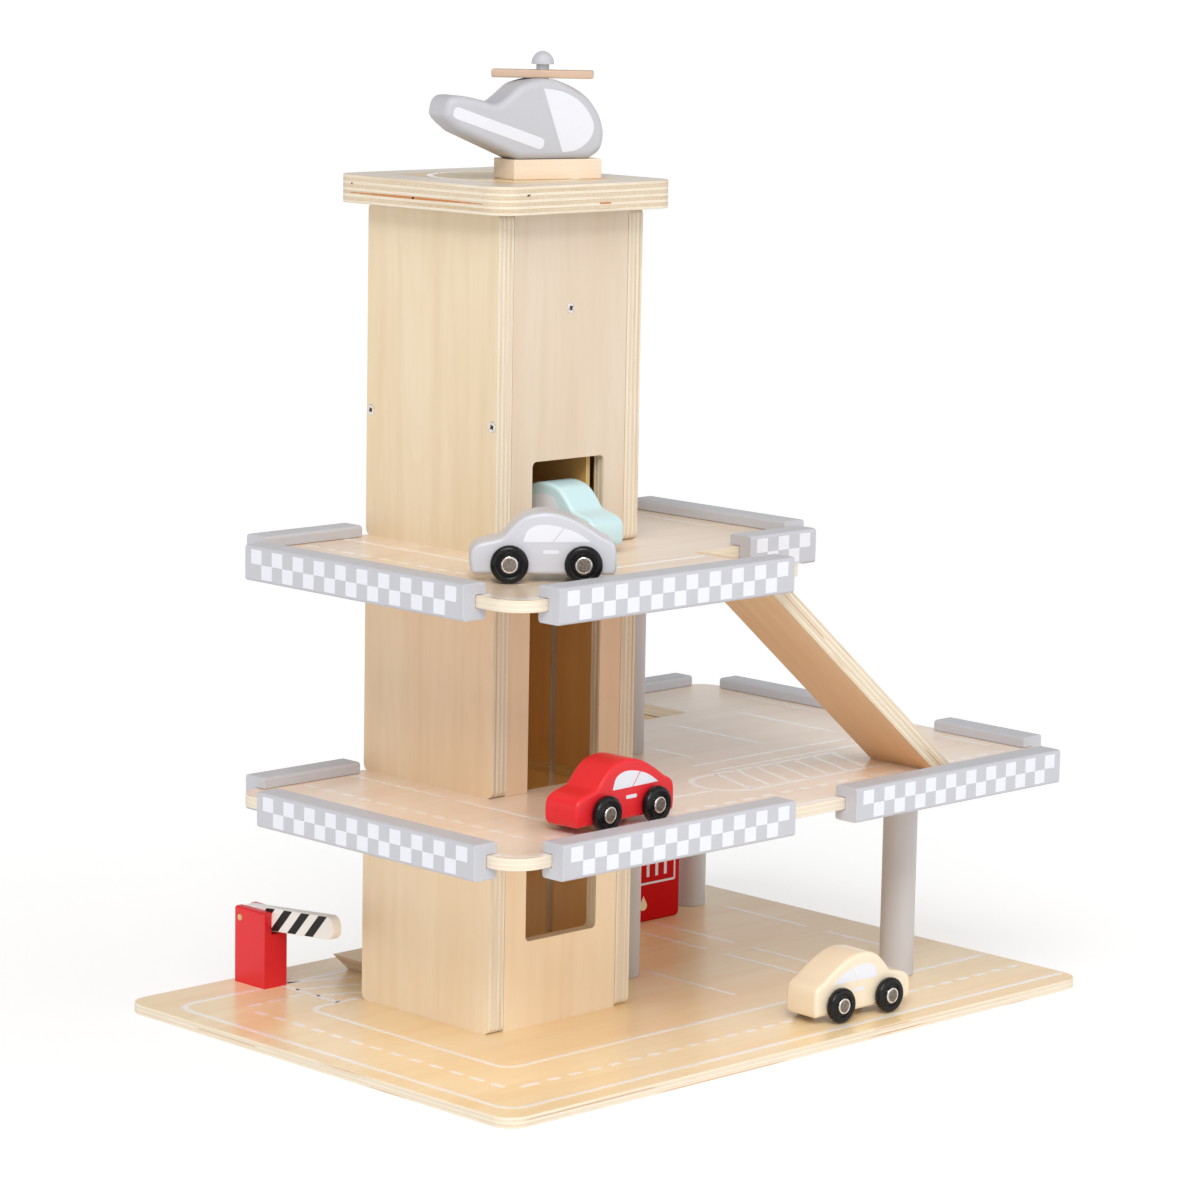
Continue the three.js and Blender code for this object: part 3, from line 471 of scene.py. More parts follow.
barPaint = {"mottle": 0.3, "shine": 0.45, "coat": 0.05}
carPaint = {"grain": (60, 300, 300), "mottle": 0.25, "shine": 0.3, "coat": 0.15}
ink = {"grain": (60, 500, 500), "mottle": 0.4, "shine": 0.4, "coat": 0.0}
paints = {
    "greyPaint": {**barPaint, "paint": srgb(194, 195, 201), "grain": (40, 600, 600)},
    "postPaint": {**barPaint, "paint": srgb(202, 200, 202), "grain": (600, 600, 30)},
    "carGreyPaint": {**carPaint, "paint": srgb(203, 204, 211)},
    "redPaint": {**carPaint, "paint": srgb(228, 38, 46), "mottle": 0.4, "shine": 0.36, "coat": 0.05},
    "pumpPaint": {**carPaint, "paint": srgb(200, 5, 8), "mottle": 0.4, "shine": 0.5, "coat": 0.0, "gloss": 0.08},
    "creamPaint": {**carPaint, "paint": srgb(237, 223, 198), "shine": 0.32},
    "bluePaint": {**carPaint, "paint": srgb(200, 228, 232)},
    "whitePaint": {"paint": srgb(250, 249, 248), "grain": (80, 500, 500), "mottle": 0.25, "shine": 0.4, "coat": 0.05},
    "whitePrint": {**ink, "paint": srgb(228, 230, 237), "grain": (60, 400, 400), "mottle": 0.25, "shine": 0.45},
    "roadPrint": {"paint": srgb(250, 247, 242), "grain": (60, 900, 900), "mottle": 0.12, "shine": 0.3, "coat": 0.8},
    "creamPrint": {**ink, "paint": srgb(244, 226, 190)},
    "rustStain": {**ink, "paint": srgb(206, 138, 80), "grain": (300, 60, 900), "mottle": 0.9, "shine": 0.6},
    # dark stain for the roof's real knots, and painted shade for the screws' cross recesses
    "knotStainAndRecessShade": {**ink, "paint": srgb(74, 40, 24), "grain": (300, 300, 300), "mottle": 0.8, "shine": 0.6},
    "blackPrint": {**ink, "paint": srgb(22, 20, 22), "shine": 0.5},
}
film = {"gloss": 0.35, "bump": 0.12, "coatRoughness": 0.18}
rubber = {"black": (0.005, 0.005, 0.006, 1), "dust": (0.03, 0.03, 0.031, 1), "gloss": 0.3, "bump": 0.06}
hubs = {
    "hubMetal": {"bright": (0.86, 0.83, 0.79, 1), "dull": (0.62, 0.56, 0.5, 1), "rough": 0.16},
    "hubFace": {"bright": (0.3, 0.27, 0.24, 1), "dull": (0.16, 0.13, 0.11, 1), "rough": 0.42},
}


def painted(name, look):
    material, tree, shader = emptyMaterial(name, look["paint"])
    spot = tree.nodes.new("ShaderNodeTexCoord").outputs["Object"]
    coat = useGroup(tree, paintCoat, Vector=spot, Paint=look["paint"], Grain=look["grain"],
                    Mottle=look["mottle"], Shine=look["shine"])
    tree.links.new(coat["Color"], shader.inputs["Base Color"])
    tree.links.new(coat["Roughness"], shader.inputs["Roughness"])
    bump(tree, shader, coat["Height"], film["bump"])
    shader.inputs["Specular IOR Level"].default_value = look.get("gloss", film["gloss"])
    shader.inputs["Coat Weight"].default_value = look["coat"]
    shader.inputs["Coat Roughness"].default_value = film["coatRoughness"]
    return material


def tyreRubber(name, look):
    material, tree, shader = emptyMaterial(name, (0.02, 0.02, 0.02))
    spot = tree.nodes.new("ShaderNodeTexCoord").outputs["Object"]
    dust = noise(tree, spot, 320.0, 4.0, 0.65)
    color = blendColor(tree, between(tree, dust, 0.5, 0.85, 0.0, 0.2), look["black"], look["dust"])
    tree.links.new(color, shader.inputs["Base Color"])
    tree.links.new(between(tree, dust, 0.3, 0.7, 0.2, 0.34), shader.inputs["Roughness"])
    bump(tree, shader, noise(tree, spot, 2500.0, 2.0), look["bump"], 0.0001)
    shader.inputs["Specular IOR Level"].default_value = look["gloss"]
    return material


def hubSteel(name, look):
    # pressed metal with fine scratches and dull spots
    material, tree, shader = emptyMaterial(name, look["bright"])
    spot = tree.nodes.new("ShaderNodeTexCoord").outputs["Object"]
    scratches = stretched(tree, spot, (900, 900, 5000), 3.0, 0.7)
    worn = between(tree, noise(tree, spot, 900.0, 3.0, 0.6), 0.35, 0.7)
    tree.links.new(blendColor(tree, worn, look["bright"], look["dull"]), shader.inputs["Base Color"])
    shader.inputs["Metallic"].default_value = 1.0
    rough = look["rough"]
    tree.links.new(between(tree, scratches, 0.3, 0.8, rough, rough + 0.2), shader.inputs["Roughness"])
    bump(tree, shader, scratches, 0.12, 0.0001)
    return material


finish.update({name: painted(name, look) for name, look in paints.items()})
finish["tyreBlack"] = tyreRubber("tyreBlack", rubber)
finish.update({name: hubSteel(name, look) for name, look in hubs.items()})
print("materials made:", len(finish))


# Shape helpers: every mesh is drawn in millimetres

def smoothMesh(data, limit=38):
    data.update()
    data.shade_smooth()
    edgeFaces = {}
    for face in data.polygons:
        for key in face.edge_keys:
            edgeFaces.setdefault(key, []).append(face.normal.copy())
    sharp = math.cos(math.radians(limit))
    for edge in data.edges:
        normals = edgeFaces.get(tuple(sorted(edge.vertices)), [])
        edge.use_edge_sharp = len(normals) != 2 or normals[0].dot(normals[1]) < sharp


def addPiece(name, body, form, material, place=Matrix.Identity(4), stands=(), weighted=True):
    # form is corners and faces; stands names the solids that the piece replaces
    corners, faces = form
    data = bpy.data.meshes.new(name)
    move = toPart @ place
    data.from_pydata([move @ Vector(corner) for corner in corners], [], faces)
    smoothMesh(data)
    piece = bpy.data.objects.new(name, data)
    scene.collection.objects.link(piece)
    piece.data.materials.append(finish[material])
    if weighted:
        modifier = piece.modifiers.new("evenShading", "WEIGHTED_NORMAL")
        modifier.keep_sharp = True
    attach(piece, body)
    if stands:
        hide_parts(*stands)


def addPrint(name, body, form, material, place):
    addPiece(name, body, form, material, place, weighted=False)


def fillet(corners, steps=10):
    # corners as (x, y, radius), walked in order; a rounded corner becomes short chords
    line = []
    for index, corner in enumerate(corners):
        here = Vector(corner[:2])
        radius = corner[2] if len(corner) > 2 else 0
        if radius == 0:
            line.append(here)
            continue
        before = (Vector(corners[index - 1][:2]) - here).normalized()
        after = (Vector(corners[(index + 1) % len(corners)][:2]) - here).normalized()
        half = math.acos(max(-1, min(1, before.dot(after)))) / 2
        middle = here + (before + after).normalized() * radius / math.sin(half)
        start = here + before * radius / math.tan(half) - middle
        end = here + after * radius / math.tan(half) - middle
        turn = math.atan2(start.x * end.y - start.y * end.x, start.dot(end))
        for step in range(steps + 1):
            angle = turn * step / steps
            line.append(middle + Matrix.Rotation(angle, 2) @ start)
    return line


def box2(left, low, right, high, radius=0):
    return [(left, low, radius), (right, low, radius), (right, high, radius), (left, high, radius)]


def roundHole(radius, steps):
    return fillet(box2(-radius, -radius, radius, radius, radius - 0.001), steps)


def area(loop):
    return sum(a.x * b.y - b.x * a.y for a, b in zip(loop, loop[1:] + loop[:1])) / 2


def inset(loop, gap):
    line = []
    for index, here in enumerate(loop):
        before = (here - loop[index - 1]).normalized()
        after = (loop[(index + 1) % len(loop)] - here).normalized()
        first = Vector((-before.y, before.x))
        second = Vector((-after.y, after.x))
        line.append(here + (first + second) * gap / (1 + first.dot(second)))
    return line


def plate(outer, holes=(), thickness=1.0, edge=0.0, rounds=3, low=0.0):
    # a flat form from z = low to low + thickness, its rims rounded by edge; returns corners and faces
    loops = [outer if area(outer) > 0 else outer[::-1]]
    loops += [hole if area(hole) < 0 else hole[::-1] for hole in holes]
    profile = [(0.0, 0.0), (0.0, thickness)]
    if edge > 0:
        bends = [math.pi / 2 * step / rounds for step in range(rounds + 1)]
        lower = [(edge * (1 - math.sin(a)), edge * (1 - math.cos(a))) for a in bends]
        profile = lower + [(gap, thickness - height) for gap, height in reversed(lower)]
    corners, faces, rings = [], [], []
    for gap, height in profile:
        starts = []
        for loop in loops:
            starts.append(len(corners))
            corners += [(p.x, p.y, low + height) for p in (inset(loop, gap) if gap else loop)]
        rings.append(starts)
    for lower, upper in zip(rings, rings[1:]):
        for index, loop in enumerate(loops):
            count = len(loop)
            for step in range(count):
                after = (step + 1) % count
                faces.append((lower[index] + step, lower[index] + after, upper[index] + after, upper[index] + step))
    rim = profile[-1][0]
    flat = [[Vector((p.x, p.y, 0)) for p in (inset(loop, rim) if rim else loop)] for loop in loops]
    last = rings[-1][0]
    for triangle in tessellate_polygon(flat):
        a, b, c = (Vector(corners[last + i][:2]) for i in triangle)
        if (b - a).cross(c - a) < 0:
            triangle = triangle[::-1]
        faces.append(tuple(last + i for i in triangle))
        faces.append(tuple(rings[0][0] + i for i in triangle[::-1]))
    return corners, faces


def joined(parts):
    corners, faces = [], []
    for partCorners, partFaces in parts:
        start = len(corners)
        corners += partCorners
        faces += [tuple(start + i for i in face) for face in partFaces]
    return corners, faces


def bothEnds(form):
    # the form, and a copy of it turned half round about X
    corners, faces = form
    return [form, ([(x, -y, -z) for x, y, z in corners], faces)]


def turned(profile, sides=48):
    # profile of (radius, height), revolved about Z
    corners, faces, rings = [], [], []
    for radius, height in profile:
        if radius == 0:
            rings.append([len(corners)])
            corners.append((0, 0, height))
            continue
        rings.append(list(range(len(corners), len(corners) + sides)))
        corners += [(radius * math.cos(math.tau * k / sides), radius * math.sin(math.tau * k / sides), height)
                    for k in range(sides)]
    for lower, upper in zip(rings, rings[1:]):
        for k in range(sides):
            after = (k + 1) % sides
            if len(lower) == 1:
                faces.append((lower[0], upper[after], upper[k]))
            elif len(upper) == 1:
                faces.append((lower[k], lower[after], upper[0]))
            else:
                faces.append((lower[k], lower[after], upper[after], upper[k]))
    return corners, faces


inlay = {"thickness": 0.14, "sunk": 0.04, "raised": 0.1}


def inlays(loops, half):
    # trim on both flat sides of a form that is 2 * half thick
    lows = (half - inlay["sunk"], -half - inlay["raised"])
    return joined([plate(loop, (), inlay["thickness"], 0, 1, low) for loop in loops for low in lows])


def curveThrough(points, steps=5):
    # an even Catmull-Rom curve through the points, open at its ends
    line = []
    points = [Vector(p) for p in points]
    for index in range(len(points) - 1):
        p0 = points[max(index - 1, 0)]
        p1, p2 = points[index], points[index + 1]
        p3 = points[min(index + 2, len(points) - 1)]
        for step in range(steps):
            t = step / steps
            v1, v2 = (p2 - p0) / 2, (p3 - p1) / 2
            cubic = (p1 * 2 - p2 * 2 + v1 + v2) * t ** 3
            square = (p2 * 3 - p1 * 3 - v1 * 2 - v2) * t ** 2
            line.append(cubic + square + v1 * t + p1)
    line.append(points[-1])
    return line


frontFacing = Matrix(((1, 0, 0, 0), (0, 0, -1, 0), (0, 1, 0, 0), (0, 0, 0, 1)))
sideFacing = Matrix(((0, 0, 1, 0), (1, 0, 0, 0), (0, 1, 0, 0), (0, 0, 0, 1)))


def at(x, y, z, turn=0.0):
    return Matrix.Translation((x, y, z)) @ Matrix.Rotation(math.radians(turn), 4, "Z")


# Printed lines: thin strips of paint that lie on a board

def strip(points, width, thickness=0.12, closed=False):
    points = [Vector(p[:2]) for p in points]
    count = len(points)
    left, right = [], []
    for index, here in enumerate(points):
        before = points[index - 1] if index or closed else None
        after = points[(index + 1) % count] if index < count - 1 or closed else None
        one = (here - before).normalized() if before is not None else (after - here).normalized()
        two = (after - here).normalized() if after is not None else one
        first, second = Vector((-one.y, one.x)), Vector((-two.y, two.x))
        push = (first + second) / (1 + first.dot(second)) * width / 2
        left.append(here + push)
        right.append(here - push)
    corners = [(p.x, p.y, z) for line in (left, right) for z in (0, thickness) for p in line]
    faces = []
    spans = count if closed else count - 1
    leftLow, leftHigh, rightLow, rightHigh = 0, count, 2 * count, 3 * count
    for step in range(spans):
        after = (step + 1) % count
        for one, two in ((leftHigh, rightHigh), (rightHigh, rightLow), (rightLow, leftLow), (leftLow, leftHigh)):
            faces.append((one + step, two + step, two + after, one + after))
    if not closed:
        faces.append((leftLow, rightLow, rightHigh, leftHigh))
        last = count - 1
        faces.append((leftLow + last, leftHigh + last, rightHigh + last, rightLow + last))
    return corners, faces


def dashes(start, end, dash, period, width):
    start, end = Vector(start), Vector(end)
    way = (end - start).normalized()
    reach = (end - start).length
    parts, offset = [], 0.0
    while offset < reach - 1:
        parts.append(strip([start + way * offset, start + way * min(offset + dash, reach)], width))
        offset += period
    return parts


def arc(x, y, radius, first, last, steps=8):
    return [(x + radius * math.cos(math.radians(first + (last - first) * k / steps)),
             y + radius * math.sin(math.radians(first + (last - first) * k / steps))) for k in range(steps + 1)]


# Boards

boards = {
    "base_board": {"outline": box2(0, 0, 460, 318, 13), "holes": [], "low": 0, "thickness": 6,
                   "finish": "baseVeneer"},
    "lower_deck": {"outline": [(9, 9, 18), (451, 9, 18), (451, 309, 18), (240, 309, 18), (240, 235, 5)],
                   "holes": [box2(282, 240.5, 370, 289.5, 3)], "low": 132.1, "thickness": 6.5,
                   "finish": "lowerDeckVeneer"},
    "upper_deck": {"outline": [(9, 9, 18), (220, 9, 7), (220, 24, 7), (203, 24), (203, 75),
                               (303, 75, 7), (303, 235, 18)],
                   "holes": [], "low": 266.1, "thickness": 6.5, "finish": "deckVeneer"},
    "roof_board": {"outline": box2(92, 114, 225, 251, 14), "holes": [], "low": 457.6, "thickness": 15.5,
                   "finish": "roofVeneer"},
}
boardEdge = 0.45
shaftNotch = [
    (201.5, 235), (201.5, 185.75), (204.5, 185.75), (204.5, 180.25), (201.5, 180.25), (201.5, 136.5),
    (115.5, 136.5), (115.5, 180.25), (112.5, 180.25), (112.5, 185.75), (115.5, 185.75), (115.5, 235),
]


def addBoards():
    for name, look in boards.items():
        outline = list(look["outline"])
        if name.endswith("deck"):
            outline += shaftNotch + [(9, 235, 18)]
        holes = [fillet(hole) for hole in look["holes"]]
        form = plate(fillet(outline), holes, look["thickness"], boardEdge)
        addPiece(name + "_sawn", "garage", form, look["finish"], at(0, 0, look["low"]), [name])


middleFront = {"left": 115.6, "right": 201.4, "door": 54, "doorHeight": 112, "height": 127.4, "back": 136.45,
               "foot": 138.65, "thickness": 7.4, "edge": 0.35}


def addMiddleFront():
    left, right, height, crest = (middleFront[key] for key in ("left", "right", "height", "doorHeight"))
    doorLeft = (left + right - middleFront["door"]) / 2
    doorRight = (left + right + middleFront["door"]) / 2
    outline = [(left, 0), (doorLeft, 0), (doorLeft, crest, 1), (doorRight, crest, 1), (doorRight, 0), (right, 0),
               (right, height), (left, height)]
    form = plate(fillet(outline, 3), (), middleFront["thickness"], middleFront["edge"], 2)
    place = at(0, middleFront["back"], middleFront["foot"]) @ frontFacing
    addPiece("tower_front_wall_middle_sawn", "garage", form, "frontMiddleShadedVeneer", place,
             ["tower_front_wall_middle"])


solidFinishes = {
    "sideTopVeneer": ["tower_left_wall_top", "tower_right_wall_top"],
    "sideVeneer": ["tower_left_wall_middle", "tower_right_wall_middle"],
    "sideLowLitVeneer": ["tower_left_wall_low", "tower_right_wall_low"],
    "frontVeneer": ["tower_front_wall_top"],
    "frontLowLitVeneer": ["tower_front_wall_low"],
    "backVeneer": ["tower_back_wall"],
    "upperRampVeneer": ["upper_ramp"],
    "lowerRampVeneer": ["lower_ramp", "ramp_landing"],
    "deckVeneer": ["lift_floor"],
    "cabinVeneer": ["lift_wall_left", "lift_wall_right"],
    "plainBeech": ["lift_crossbar"],
    "dowelWood": ["lift_spindle", "gate_pin", "crank_arm"],
    "redPaint": ["crank_knob"],
}


def dressSolid(name, material, width=0.0004, segments=2):
    # keeps the part's own solid, in this finish and with its edges broken; the width is in metres
    solid = nodes[name]
    for holder in solid.material_slots:
        holder.material = finish[material]
    soften = solid.modifiers.new("brokenEdge", "BEVEL")
    soften.width = width
    soften.segments = segments
    soften.limit_method = "ANGLE"
    soften.angle_limit = math.radians(50)
    soften.harden_normals = True


def addWalls():
    for material, names in solidFinishes.items():
        for name in names:
            dressSolid(name, material)


def addRoofStreaks():
    # the roof edge's rusty core ply and its small knots
    core = []
    for y in range(129, 230, 9):
        width = 0.5 + 0.9 * max(0, 1 - abs(y - 178) / 44) ** 0.5  # widest in the middle
        core.append(strip([(y, 463.4), (min(y + 9, 236), 463.4)], width))
    knots = [strip([(183.6, 463.3), (185.4, 463.3)], 1.3), strip([(234.2, 468.4), (235.4, 468.4)], 0.8)]
    frontCore = [strip([(164.5, 462.2), (168, 462.3), (173, 462.2)], 0.9)]
    frontKnot = [strip([(110.6, 468), (112.6, 468.4)], 0.9)]
    front = at(0, 114.03, 0) @ frontFacing
    for name, parts, place, material in (
        ("roof_edge_streak", core, at(91.97, 0, 0) @ sideFacing, "rustStain"),
        ("roof_edge_knots", knots, at(91.92, 0, 0) @ sideFacing, "knotStainAndRecessShade"),
        ("roof_front_streak", frontCore, front, "rustStain"),
        ("roof_front_knot", frontKnot, front, "knotStainAndRecessShade"),
    ):
        addPrint(name, "garage", joined(parts), material, place)


addBoards()
addMiddleFront()
addWalls()
addRoofStreaks()
print("boards and walls made")


# Road markings

roads = {"line": 3.4, "thin": 3.0, "sunk": 0.07}


def addRoadLines(name, parts, level):
    addPrint(name, "garage", joined(parts), "roadPrint", at(0, 0, level - roads["sunk"]))


def bays(*lines):
    # straight lines across a board, each as x, near end and far end
    return [strip([(x, low), (x, high)], roads["line"]) for x, low, high in lines]


def addBasePrint():
    wide = roads["line"]
    parts = [
        strip([(457, 13.4)] + arc(26, 26.4, 13, 270, 180) + arc(26, 276, 13, 180, 90) + [(140, 289)], wide),
        strip([(456, 72.8)] + arc(76.3, 82.8, 10, 270, 180) + arc(76.3, 227, 10, 180, 90) + [(104, 237)], wide),
    ]
    parts += dashes((40.5, 48), (40.5, 256), 9, 16.2, wide)
    parts += dashes((45, 263.5), (92, 263.5), 9, 15.5, wide)
    parts.append(strip([(48, 42.5), (60.8, 42.5)], wide))
    parts += dashes((68, 42.5), (456, 42.5), 8.7, 15, wide)
    parts += bays((88.8, 237, 289))
    slants = (((89, 256), (134, 240)), ((89, 274), (134, 258)), ((95, 289), (134, 275.5)))
    parts += [strip(ends, roads["thin"]) for ends in slants]
    parts += bays((273, 103, 174), (338, 103, 174), (338, 190, 241), (361.8, 103, 174), (361.8, 190, 258),
                  (426.3, 103, 174), (426.3, 190, 258))
    addRoadLines("base_road_lines", parts, 6)


def addLowerDeckPrint():
    wide, thin = roads["line"], roads["thin"]
    parts = [
        strip([(15, 215)] + arc(32, 30, 17, 180, 270) + [(446, 13)], wide),
        strip([(89.5, 235), (89.5, 152)], wide),
        strip([(89.5, 139)] + arc(99.5, 80, 10, 180, 270) + [(215, 70)], wide),
    ]
    parts += dashes((52.5, 50), (52.5, 230), 8, 15, wide)
    parts += dashes((62, 41), (440, 41), 8, 15, wide)
    parts.append(strip([(350, 58)] + arc(239, 79, 21.2, 270, 90, 12) + [(350, 100.5)], wide))
    for k in range(7):
        foot = 236 + 15.9 * k
        parts.append(strip([(foot, 59.5), (min(foot + 14, 350), 99)], thin))
    parts += [strip([(255, y), (385, y)], thin) for y in (107, 124)]
    parts += bays((274, 143, 175), (335, 145, 218), (395, 143, 220), (435, 198, 258), (435, 58, 93))
    addRoadLines("lower_deck_road_lines", parts, 138.6)


def addUpperDeckPrint():
    wide = roads["line"]
    parts = [
        strip([(15, 215)] + arc(32, 30, 17, 180, 270) + [(222, 13)], wide),
        strip([(84, 233)] + arc(94, 72.5, 10, 180, 270) + [(198, 62.5)], wide),
        strip([(283, 140), (283, 217)], wide),
    ]
    parts += dashes((52, 50), (52, 230), 8, 15, wide)
    addRoadLines("upper_deck_road_lines", parts, 272.6)


def addRoofPrint():
    ring = strip(arc(158.5, 182.5, 42, 0, 352.5, 47), roads["line"], closed=True)
    addRoadLines("landing_circle", [ring], 473.1)


addBasePrint()
addLowerDeckPrint()
addUpperDeckPrint()
addRoofPrint()
print("road lines printed")


# Edge rails with the checked print

rail = {"depth": 16, "height": 19.5, "grip": 7, "lip": 6.5, "groove": 6.8, "edge": 1.8, "end": 0.462,
        "gap": 0.3}
rails = {  # deck's level, side, board's edge, start, length, whether the print is on it
    "lower_rail_front_left": (132.1, "front", 9, 35.6, 174, True),
    "lower_rail_front_right": (132.1, "front", 9, 258.5, 174, True),
    "lower_rail_left": (132.1, "left", 9, 29, 174, True),
    "lower_rail_back_left": (132.1, "back", 235, 26, 70, False),
    "lower_rail_back_right": (132.1, "back", 309, 366.3, 70, False),
    "lower_rail_right_back": (132.1, "right", 451, 163.3, 122.5, False),
    "lower_rail_right_front": (132.1, "right", 451, 37.3, 70, False),
    "upper_rail_front": (266.1, "front", 9, 30, 174, True),
    "upper_rail_left": (266.1, "left", 9, 39.8, 174, True),
    "upper_rail_back_left": (266.1, "back", 235, 26, 70, False),
    "upper_rail_slot": (266.1, "front", 75, 238.6, 53, True),
    "upper_rail_right": (266.1, "right", 303, 94.5, 122.5, False),
}
checks = {"square": 8.6, "rowHeight": 7.85, "thickness": 0.13, "sunk": 0.03, "ends": 9}


def railProfile():
    # a square bar with a groove that takes the board's edge
    depth, height, edge = rail["depth"], rail["height"], rail["edge"]
    inner = depth - rail["grip"] - rail["gap"]
    low = rail["lip"] - (rail["groove"] - boards["lower_deck"]["thickness"]) / 2
    high = low + rail["groove"]
    return fillet([
        (0, 0, edge), (depth, 0, edge), (depth, low, 0.5), (inner, low), (inner, high), (depth, high, 0.5),
        (depth, height, edge), (0, height, edge),
    ], 4)


def checkSquares(length):
    # two rows, a square of the one above a gap of the other, as many as the rail's face takes
    square, tall = checks["square"], checks["rowHeight"]
    columns = int((length - checks["ends"]) // square)
    columns -= 1 - columns % 2
    margin = (length - columns * square) / 2
    squares = []
    for column in range(columns):
        left = margin + column * square
        top = rail["height"] / 2 + tall * (1 - column % 2)
        outline = fillet(box2(left, top - tall, left + square, top, 0.25), 2)
        squares.append(plate(outline, (), checks["thickness"], 0, 1, -checks["sunk"]))
    return joined(squares)


def addRails():
    out = rail["depth"] - rail["grip"]  # how far a rail stands past the board's edge
    for name, (deck, side, edge, start, length, printed) in rails.items():
        level = deck - rail["lip"]
        spot = {
            "front": at(start, edge - out, level), "right": at(edge + out, start, level, 90),
            "back": at(start + length, edge + out, level, 180), "left": at(edge - out, start + length, level, -90),
        }[side]
        form = plate(railProfile(), (), length, rail["end"])
        addPiece(name + "_milled", "garage", form, "greyPaint", spot @ sideFacing, [name])
        if printed:
            addPrint(name + "_checks", "garage", checkSquares(length), "whitePrint", spot @ frontFacing)


addRails()
print("rails made")


# Posts, fuel pump and gate

posts = {"post_centre_low": (256, 178, 6), "post_front_low": (381, 76, 6), "post_back_low": (415, 280, 6),
         "post_centre_high": (256, 178, 138.6)}
post = {"radius": 10, "edge": 0.5, "low": 126.1, "high": 127.5}


def addPosts():
    radius, edge = post["radius"], post["edge"]
    for name, (x, y, foot) in posts.items():
        tall = post[name.split("_")[-1]]
        form = turned([(0, 0), (radius - edge, 0), (radius, edge), (radius, tall - edge), (radius - edge, tall),
                       (0, tall)], 64)
        addPiece(name + "_turned", "garage", form, "postPaint", at(x, y, foot), [name])


pump = {"spot": (347, 262, 6), "size": (41, 22, 48), "radius": 3, "edge": 1.5, "frame": (5, 24, 36, 40),
        "line": 1.3, "bar": 2.4, "drop": [(9.5, 16.5), (7.3, 12.6), (6.4, 10.4), (6.9, 8.6), (8.4, 7.4), (10.6, 7.4),
                                          (12.1, 8.6), (12.6, 10.4), (11.7, 12.6)]}


def addPump():
    width, depth, height = pump["size"]
    face = at(*pump["spot"]) @ frontFacing
    form = plate(fillet(box2(0, 0, width, height, pump["radius"]), 6), (), depth, pump["edge"], 4)
    place = at(*pump["spot"]) @ Matrix.Translation((0, depth, 0)) @ frontFacing
    addPiece("fuel_pump_block", "garage", form, "pumpPaint", place, ["fuel_pump"])
    left, low, right, high = pump["frame"]
    sign = [strip(fillet(box2(left, low, right, high, 0.6), 3), pump["line"], closed=True)]
    for k in range(3):
        bar = left + 8 + 7.5 * k
        sign.append(strip([(bar, low + 4), (bar, high - 4)], pump["bar"]))
    addPrint("fuel_pump_sign", "garage", joined(sign), "whitePrint", face)
    drop = plate([Vector(p) for p in pump["drop"]], (), 0.12)
    addPrint("fuel_pump_drop", "garage", drop, "creamPrint", face)


gate = {"spot": (75.3, 286, 6), "cheek": 5, "slot": 7, "height": 44.5, "depth": 26.5, "pinBack": 4, "pinDrop": 6.2,
        "armReach": 76, "armHeight": 13.5, "armThickness": 6.4, "rest": 4.8,
        "stripe": {"first": 18.6, "period": 15.2, "width": 7.2, "lean": 13.4, "count": 4, "thickness": 0.12}}


def addGate():
    dressSolid("gate_post", "redPaint", 0.0007, 3)
    x, y, z = gate["spot"]
    half, reach, back, thick = gate["armHeight"] / 2, gate["armReach"], gate["pinBack"], gate["armThickness"]
    outline = fillet([(-reach, -half, 5.5), (back, -half, 4), (back, half, 4), (-reach, half, 5.5)], 8)
    form = plate(outline, [roundHole(2.3, 5)], thick, 0.5, 3, -thick / 2)
    pin = (x + gate["cheek"] + gate["slot"] / 2, y + gate["depth"] - back, z + gate["height"] - gate["pinDrop"])
    place = Matrix.Translation(pin) @ Matrix.Rotation(-math.radians(gate["rest"]), 4, "X") @ sideFacing
    addPiece("gate_arm_board", "barrier", form, "whitePaint", place, ["gate_arm"])
    stripe = gate["stripe"]
    width, rise = stripe["width"], half - 0.35
    stripes = []
    for k in range(stripe["count"]):
        foot = stripe["first"] - stripe["lean"] + stripe["period"] * k
        crest = foot + stripe["lean"]
        slant = [Vector(p) for p in ((-foot, -rise), (-foot - width, -rise), (-crest - width, rise), (-crest, rise))]
        for low in (-thick / 2 - 0.1, thick / 2 - 0.02):
            stripes.append(plate(slant, (), stripe["thickness"], 0, 1, low))
    addPrint("gate_arm_stripes", "barrier", joined(stripes), "blackPrint", place)


addPosts()
addPump()
addGate()
print("posts, pump and gate made")


# Cars

carShape = [
    (0.985, 0.02), (1, 0.11), (0.998, 0.42), (0.969, 0.54), (0.898, 0.625), (0.827, 0.735), (0.723, 0.873),
    (0.618, 0.965), (0.513, 1), (0.409, 0.965), (0.341, 0.89), (0.273, 0.745), (0.215, 0.6), (0.135, 0.548),
    (0.052, 0.495), (0.004, 0.375), (0, 0.12), (0.02, 0.02),
]
car = {"length": 76, "height": 33.2, "floor": 3.6, "width": 24, "nose": -39.5, "base": 38.6, "edge": 2.1,
       "wheel": 10, "tyreIn": 12.3, "tyreOut": 17.5}
carWindow = [(-12.2, 21.3), (-9.7, 27.6), (-3.5, 30.3), (4.8, 29.8), (14.7, 26.8), (23.2, 21.6)]
cars = {
    "red_car": ("redPaint", "red_paint", (112.3, 43.5, 138.9), 182.5),
    "cream_car": ("creamPaint", "cream_paint", (292.5, 34.5, 6.3), -2),
    "grey_car": ("carGreyPaint", "grey_paint", (72, 55.4, 272.9), 139.2),
    "blue_car": ("bluePaint", "blue_paint", (157.5, 134.9, 272.9), -90),
}
carDivider = {"foot": 3.0, "lean": 5.6, "gap": 0.7, "sill": 21.4, "frontTop": 28.9, "rearTop": 28.7}
carHandle = (-1.8, 15.2, 6.6, 17.2, 0.9)  # left, low, right, high, radius


